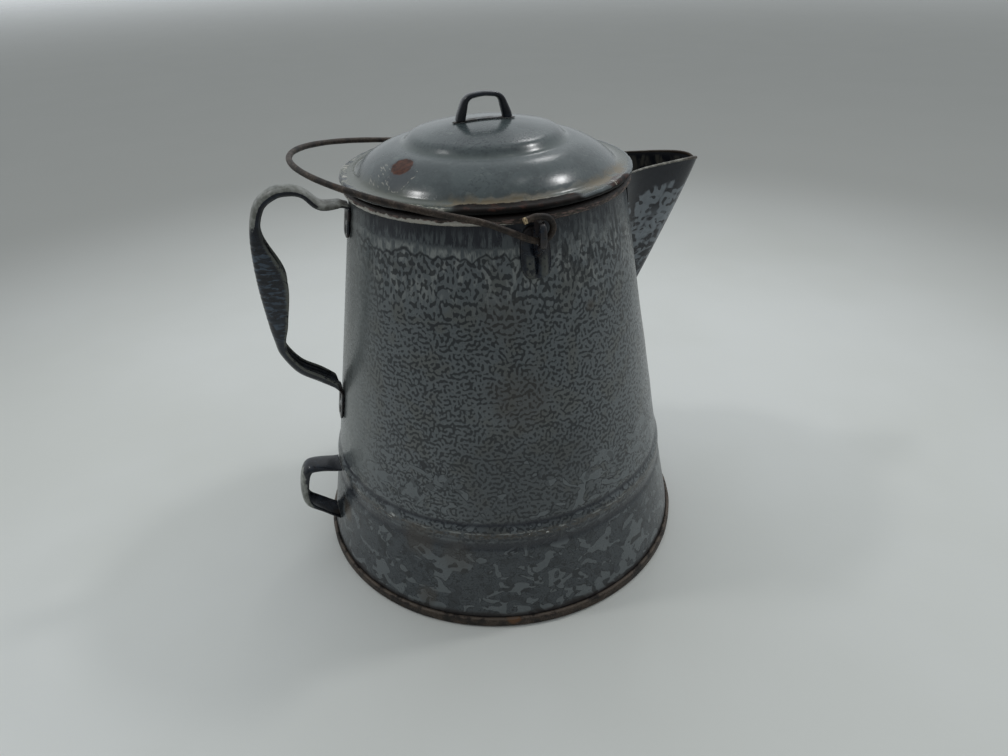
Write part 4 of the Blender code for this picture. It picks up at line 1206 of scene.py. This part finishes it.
earSettings = {
    "width": 0.0166, "length": 0.0270, "plate": 0.0012, "drop": 0.0042, "cornerPower": 3.4,
    "halfSpan": 0.0910, "hookRadius": 0.0062, "eyeRadius": 0.0025, "finFoot": 0.0120, "bevel": 0.0009,
    "eyeRim": 0.0020, "finThickness": 0.0034, "finTopOverPivot": 0.0035, "finInner": 0.0848,
    "lobe": 0.0010, "crease": 0.0012, "lip": 0.0004, "around": 120, "rings": 22,
    "taperShare": 0.14, "lobeShares": (0.42, 0.26), "creaseShare": 0.10, "lipShares": (0.93, 0.04),
    "wornBottom": 0.2105, "wornHeight": 0.026, "wornHalfWidth": 0.008,
    # Where the worn lobes, the rubbed lip and the rust begin and end, as shares of that height and width
    "lobeSides": [(0.16, 0.30), (0.80, 0.62)], "lobeEnds": [(0.60, 0.42), (0.04, 0.14)],
    "lipTop": (0.45, 0.25), "rustFrom": (0.45, 0.75),
}


# Leaf on the wall: a superellipse of power 3.4, narrower at the top, with two swollen lobes,
# a crease between them and a thin raised lip
def leafGrid(own, side):
    turn = fullTurn(own["around"])
    bend = 2 / own["cornerPower"]
    across = signedPower(np.sin(turn), bend)
    up = -signedPower(np.cos(turn), bend)
    up = up - 0.07 * (1 - np.abs(across)) * step(up, -0.6, -0.95)
    up = np.maximum(up, -1.0)
    outline = np.stack([own["width"] / 2 * across * (1 - own["taperShare"] * step(up, -0.1, 1.0)),
                        own["length"] / 2 * up], axis=1)
    share = np.sin(np.linspace(0.0, math.pi / 2, own["rings"]))
    front = outline * share[:, None, None]
    swell = np.sqrt(np.clip(1 - share ** 6, 0.0, 1.0))[:, None]
    x = front[..., 0] / (own["width"] / 2)
    low = step(front[..., 1], 0.006, -0.002)
    middle, width = own["lobeShares"]
    lobes = own["lobe"] * np.exp(-((np.abs(x) - middle) / width) ** 2) * low
    crease = own["crease"] * np.exp(-(x / own["creaseShare"]) ** 2) * low * step(share, 0.96, 0.80)[:, None]
    middle, width = own["lipShares"]
    edge = own["lip"] * np.exp(-((share - middle) / width) ** 2)[:, None]
    out = own["plate"] * swell + (lobes + own["lobe"] * 0.4 - crease) * swell + edge
    flat = np.vstack([np.dstack([front, np.maximum(out, 0.0)]), np.dstack([front[::-1], 0 * out])])
    top = rimHeight - own["drop"]
    middle = top - own["length"] / 2 * math.cos(wallSlope)
    height = middle + flat[..., 1] * math.cos(wallSlope)
    # The plate is pressed to the round wall: each point is set back by the wall's own curve
    setBack = wall(height) - np.sqrt(np.maximum(wall(height) ** 2 - flat[..., 0] ** 2, 0.0))
    lift = gap + flat[..., 2] - setBack
    reach = wall(middle) - (height - middle) * wallTangent + lift * math.cos(wallSlope)
    height = height + lift * math.sin(wallSlope)
    return np.dstack([-side * flat[..., 0], side * reach, height])


# Fin: an outline with a round eye through it, extruded and bevelled
def finMesh(own, side, name):
    eyeHeight = pivotHeight - own["hookRadius"]
    outside = own["eyeRadius"] + own["eyeRim"]
    finTop = pivotHeight + own["finTopOverPivot"]
    top = rimHeight - own["drop"]
    low = top - own["length"]
    seat = gap + own["plate"] / 2
    bevel = own["bevel"]
    foot = low + own["finFoot"]
    outline = np.vstack([
        [(wall(foot) + seat, foot)],
        arc(own["halfSpan"], eyeHeight, outside - bevel, -math.pi / 3, 0.0, 9),
        arc(own["halfSpan"], finTop - outside, outside - bevel, 0.0, math.pi / 2, 9),
        [(own["finInner"] + bevel, finTop - bevel), (own["finInner"] + bevel, top),
         (wall(top - own["plate"]) + seat, top - own["plate"])]])
    eye = arc(own["halfSpan"], eyeHeight, own["eyeRadius"] + bevel, 0.0, 2 * math.pi, 33)[:-1]
    curve = bpy.data.curves.new(name, "CURVE")
    curve.dimensions = "2D"
    curve.fill_mode = "BOTH"
    curve.extrude = own["finThickness"] / 2 - bevel
    curve.bevel_depth = bevel
    curve.bevel_resolution = 2
    for points in (outline, eye):
        spline = curve.splines.new("POLY")
        spline.points.add(len(points) - 1)
        spline.points.foreach_set("co", np.hstack([points, np.zeros((len(points), 1)),
                                                   np.ones((len(points), 1))]).ravel())
        spline.use_cyclic_u = True
    thing = addObject(name, curve)
    mesh = takeMesh(thing)
    co = np.zeros(len(mesh.vertices) * 3)
    mesh.vertices.foreach_get("co", co)
    co = co.reshape(-1, 3)
    placed = np.stack([-side * co[:, 2], side * co[:, 0], co[:, 1]], axis=1)
    mesh.vertices.foreach_set("co", placed.astype(np.float32).ravel())
    mesh.update()
    mesh.name = name
    return mesh


def makeEar(node, side, name):
    own = earSettings
    grid = leafGrid(own, side)
    up = np.clip((grid[..., 2] - own["wornBottom"]) / own["wornHeight"], 0, 1)
    across = np.abs(grid[..., 0]) / own["wornHalfWidth"]
    inner, outer = (step(across, *side) for side in own["lobeSides"])
    top, foot = (step(up, *end) for end in own["lobeEnds"])
    lobes = inner * outer * top * foot
    ring = np.arange(len(grid))[:, None]
    rubbed = 0.8 * (abs(ring - own["rings"] + 2) < 2) * step(up, *own["lipTop"])
    addPiece(gridMesh(name + "Leaf", grid, False, True), "kettle", node, "dark_enamel", trimMaterial, 60,
             worn=0.22 * lobes, rim=np.maximum(rubbed, 0.60 * lobes), rusty=0.45 * step(up, *own["rustFrom"]))
    addPiece(finMesh(own, side, name + "Fin"), "kettle", node, "dark_enamel", trimMaterial, 40, rusty=0.6)


makeEar("bail_ear_front", -1, "frontEar")
makeEar("bail_ear_rear", 1, "rearEar")
print("ears made")

bailSettings = {
    "wireRadius": 0.0017, "reach": 0.1108, "halfWidth": 0.0925, "power": 1.6, "tilt": math.radians(12),
    "hookStart": math.radians(-75), "hookEnd": math.radians(-262),
    "hookTail": [(0.0040, 0.0058), (0.0095, 0.0030)],
    "arm": [(0.0045, -0.0058), (0.0085, -0.0048)], "armLength": 0.0160,
    "sag": 0.0030, "sagPlace": 0.012, "sagWidth": 0.011,
    "spacing": 0.0009, "soften": 0.0010, "sides": 20, "unevenness": 0.00006, "endShare": 0.86,
    "endBevel": 0.00018,
}


# From the bail's own plane to the kettle: -u along X, turned by the tilt about the pivot
def bailPlace(points):
    tilt = bailSettings["tilt"]
    x, y, v = -points[:, 0], points[:, 1], points[:, 2]
    return np.stack([x * math.cos(tilt) + v * math.sin(tilt), y,
                     pivotHeight - x * math.sin(tilt) + v * math.cos(tilt)], axis=1)


# Round wire along a line, its frames carried on from point to point
def tubeGrid(line, radii, sides):
    along = unit(np.gradient(line, axis=0))
    frames = [unit(np.cross(along[0], (0.0, 1.0, 0.0)))]
    for direction in along[1:]:
        frames.append(unit(frames[-1] - direction * np.dot(frames[-1], direction)))
    first = np.array(frames)
    second = np.cross(along, first)
    turn = fullTurn(sides)[:, None]
    outward = np.cos(turn) * first[:, None] + np.sin(turn) * second[:, None]
    return line[:, None] + radii[:, None, None] * outward


# Bail: a hook round the pivot with an open tail, a short arm and the arch, whose reach is
# R sin^(2/1.6), sagging a little next to the arm
def makeBail():
    own = bailSettings
    span, hookRadius = earSettings["halfSpan"], earSettings["hookRadius"]
    turn = np.linspace(own["hookEnd"], own["hookStart"], 60)
    hook = np.stack([hookRadius * np.cos(turn), np.full(60, span), hookRadius * np.sin(turn)], axis=1)
    hook = np.vstack([[(reach, span, rise) for reach, rise in own["hookTail"][::-1]], hook])
    arm = [(reach, span, rise) for reach, rise in own["arm"]]
    first = math.asin((own["armLength"] / own["reach"]) ** (own["power"] / 2))
    turn = np.linspace(first, math.pi - first, 240)
    arch = np.stack([own["reach"] * np.sin(turn) ** (2 / own["power"]), own["halfWidth"] * np.cos(turn),
                     np.zeros(240)], axis=1)
    arch[:, 2] -= own["sag"] * np.exp(-((arch[:, 0] - own["sagPlace"]) / own["sagWidth"]) ** 2)
    near = np.vstack([hook, arm])
    far = near[::-1] * np.array([1.0, -1.0, 1.0])
    line = softened(np.vstack([near, arch, far]), own["spacing"], own["soften"], 3)
    places = np.arange(len(line))
    radii = own["wireRadius"] + own["unevenness"] * (np.sin(places * 0.19) * np.sin(places * 0.071 + 1) - 1)
    grid = tubeGrid(bailPlace(line), radii, own["sides"])
    ends = []
    for end, near in ((0, 1), (-1, -2)):
        middle = grid[end].mean(axis=0)
        further = (grid[end] - grid[near]) * own["endBevel"] / own["spacing"]
        ends.append(middle + (grid[end] - middle) * own["endShare"] + further)
    grid = np.concatenate([ends[:1], grid, ends[1:]])
    cut = tuple(bailPlace(hook[:1] * np.array([1.0, -1.0, 1.0]))[0])
    material = rustedSteel("bailSteel", cut, 0.45)
    mesh = gridMesh("bailWire", closeEnds(grid), False, True)
    addPiece(mesh, "bail", "bail", "bail_steel", material, 50)


makeBail()
print("bail made")

knobSettings = {
    "legSpacing": 0.0272, "rise": 0.0134, "corner": 0.0058, "lean": 0.0022, "legThickness": 0.0054,
    "topThickness": 0.0026, "width": 0.0060, "sides": 28, "power": 3.0, "spacing": 0.0006,
    "stripLength": 0.0366, "stripWidth": 0.0046, "stripThickness": 0.0005, "topLift": 0.0012,
    "arch": 0.0006, "soften": 0.0010, "footSlope": (0.0002, 0.0015), "cornerTurn": (8, 86),
    "wornReach": (0.004, 0.009), "wornSide": (0.0012, 0.0026),
}


# Height of the lid's crown at a distance from the axis
def crownHeight(x):
    return lidTop - crownSphere + np.sqrt(crownSphere ** 2 - x ** 2)


# Knob: a loop of superellipse sections, thinner as it rises; its legs lean inward and its top
# is a little arched
def makeKnob():
    own = knobSettings
    leg = own["legSpacing"] / 2
    foot = crownHeight(leg - own["legThickness"] / 2) + gap + own["stripThickness"]
    top = lidTop + own["rise"] + gap + own["topLift"] - own["topThickness"] / 2
    high = leg - own["lean"]
    start, end = (math.radians(angle) for angle in own["cornerTurn"])
    corner = arc(high - own["corner"], top - own["arch"] - own["corner"], own["corner"], start, end, 20)
    inward, rise = own["footSlope"]
    half = np.vstack([[(leg, foot)], [(leg - inward, foot + rise)], corner])
    line = np.vstack([half, [(0.0, top)], half[::-1] * np.array([-1.0, 1.0])])
    line = softened(line, own["spacing"], own["soften"])
    along = directions(line)
    along[0] = (0.0, 1.0)
    along[-1] = (0.0, -1.0)
    share = np.clip((line[:, 1] - foot) / (top - foot), 0.0, 1.0)
    thickness = own["legThickness"] + (own["topThickness"] - own["legThickness"]) * share ** 1.6
    turn = fullTurn(own["sides"])
    outward = signedPower(np.cos(turn), 2 / own["power"])
    side = thickness[:, None] / 2 * outward
    across = own["width"] / 2 * signedPower(np.sin(turn), 2 / own["power"]) + 0 * side
    grid = np.dstack([line[:, :1] - along[:, 1:] * side, across, line[:, 1:] + along[:, :1] * side])
    worn = 0.56 * step(share, 0.72, 0.95)[:, None] * step(outward, 0.0, 0.7)
    left = step(-line[:, :1], *own["wornReach"]) * step(-across, *own["wornSide"])
    worn = worn + 0.30 * left * step(share, 0.75, 0.20)[:, None]
    addStrap("lidKnob", grid, "lid", "lid_knob", trimMaterial, 50, worn=worn)


# Strip under the knob: it follows the crown, with rounded ends and edges
def makeKnobStrip():
    own = knobSettings
    share = np.sin(np.linspace(-math.pi / 2, math.pi / 2, 60))
    x = own["stripLength"] / 2 * share
    width = own["stripWidth"] / 2 * (1 - np.abs(share) ** 10) ** 0.5
    turn = fullTurn(24)
    across = width[:, None] * signedPower(np.cos(turn), 0.35)
    lift = own["stripThickness"] / 2 * (1 + signedPower(np.sin(turn), 0.6))
    grid = np.dstack([x[:, None] + 0 * across, across, crownHeight(x)[:, None] + gap + lift])
    addStrap("knobStrip", grid, "lid", "lid_knob_plate", trimMaterial, 50, rusty=np.ones_like(across))


makeKnob()
makeKnobStrip()
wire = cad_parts["rim_wire"]
wire.data.materials.clear()
wire.data.materials.append(seamMaterial)
print("knob made")

stageSettings = {
    "floorRadius": 40.0, "floor": (233, 235, 232), "floorShade": (224, 226, 221),
    "far": (166, 167, 163), "world": (213, 218, 221), "bright": 1.02, "dim": 0.34,
    "dimSide": (-0.27, -0.95, 0.10), "dimFrom": (-0.35, 0.75), "farFrom": (0.30, 1.0), "fade": (12.0, 2.6),
    # Azimuth, elevation, distance, size and watts of each lamp, about the kettle's middle
    "middleHeight": 0.13,
    "lamps": [(6, 56, 1.4, 0.13, 2.1), (163, 56, 1.4, 0.12, 1.7), (57, 42, 1.5, 0.18, 0.5),
              (15, 74, 1.3, 0.03, 0.08)],
}


# Floor, small soft lamps and a pale room that is darker on the photographer's side
def makeStage():
    own = stageSettings
    turn = fullTurn(96)
    radii = own["floorRadius"] * np.linspace(0.0, 1.0, 30)[:, None] ** 3
    grid = np.dstack([radii * np.cos(turn), radii * np.sin(turn), 0 * radii * turn])
    mesh = gridMesh("floor", grid, False, True)
    weld(mesh)
    f = Finish("floorPaint", own)
    away = f.radius()
    paint = f.mix(f.ramp(f.noise(2.2, 4.0, 0.55), 0.35, 0.70), "floor", "floorShade")
    f.set(Base_Color=f.mix(f.ramp(away, *own["farFrom"]), paint, "far"), Roughness=0.62 + f.noise(6.0) * 0.1,
          Alpha=f.ramp(away, *own["fade"]))
    f.bump(f.noise(120.0, 3.0), 0.0008, 0.12)
    mesh.materials.append(f.material)
    floor = addObject("floor", mesh)
    middle = Vector((0.0, 0.0, own["middleHeight"]))
    for index, (azimuth, elevation, distance, size, watts) in enumerate(own["lamps"]):
        a, e = math.radians(azimuth), math.radians(elevation)
        out = Vector((math.cos(a) * math.cos(e), math.sin(a) * math.cos(e), math.sin(e)))
        light = bpy.data.lights.new(f"lamp{index}", "AREA")
        light.shape = "DISK"
        light.size = size
        light.energy = watts
        lamp = addObject(f"lamp{index}", light)
        lamp.location = middle + out * distance
        lamp.rotation_euler = out.to_track_quat("Z", "Y").to_euler()
    room = Finish("room", own, True)
    toward = room.node("ShaderNodeVectorMath", {"operation": "DOT_PRODUCT"},
                       {0: room.place, 1: Vector(own["dimSide"]).normalized()}, 1)
    dimmed = room.ramp(toward, *own["dimFrom"]) * (own["dim"] - own["bright"])
    room.set(Color="world", Strength=own["bright"] + dimmed)
    bpy.context.scene.world = room.material
    bpy.context.scene.view_settings.view_transform = "Standard"


makeStage()
print("stage made")

cameraSettings = {
    "azimuthTurn": math.radians(16), "yaw": math.radians(0.80446), "pitch": math.radians(31.98776),
    "roll": math.radians(-2.16477), "distance": 0.4097, "height": 0.3579, "lens": 25.0,
}


# Camera found by fitting the ellipses and outlines of the photograph
def makeCamera():
    own = cameraSettings
    yaw, pitch, roll = own["yaw"], own["pitch"], own["roll"]
    forward = Vector((math.sin(yaw) * math.cos(pitch), math.cos(yaw) * math.cos(pitch), -math.sin(pitch)))
    right = Vector((math.cos(yaw), -math.sin(yaw), 0.0))
    up = right.cross(forward)
    turned = Matrix.Rotation(-own["azimuthTurn"], 3, "Z")
    rolledRight = turned @ (math.cos(roll) * right + math.sin(roll) * up)
    rolledUp = turned @ (math.cos(roll) * up - math.sin(roll) * right)
    place = Matrix((rolledRight, rolledUp, -(turned @ forward))).transposed().to_4x4()
    place.translation = turned @ Vector((0.0, -own["distance"], own["height"]))
    data = bpy.data.cameras.new("camera")
    data.lens = own["lens"]
    data.sensor_width = 36.0
    data.sensor_fit = "HORIZONTAL"
    data.clip_start = 0.01
    camera = addObject("camera", data)
    camera.matrix_world = place
    bpy.context.scene.camera = camera


makeCamera()
print("scene made")
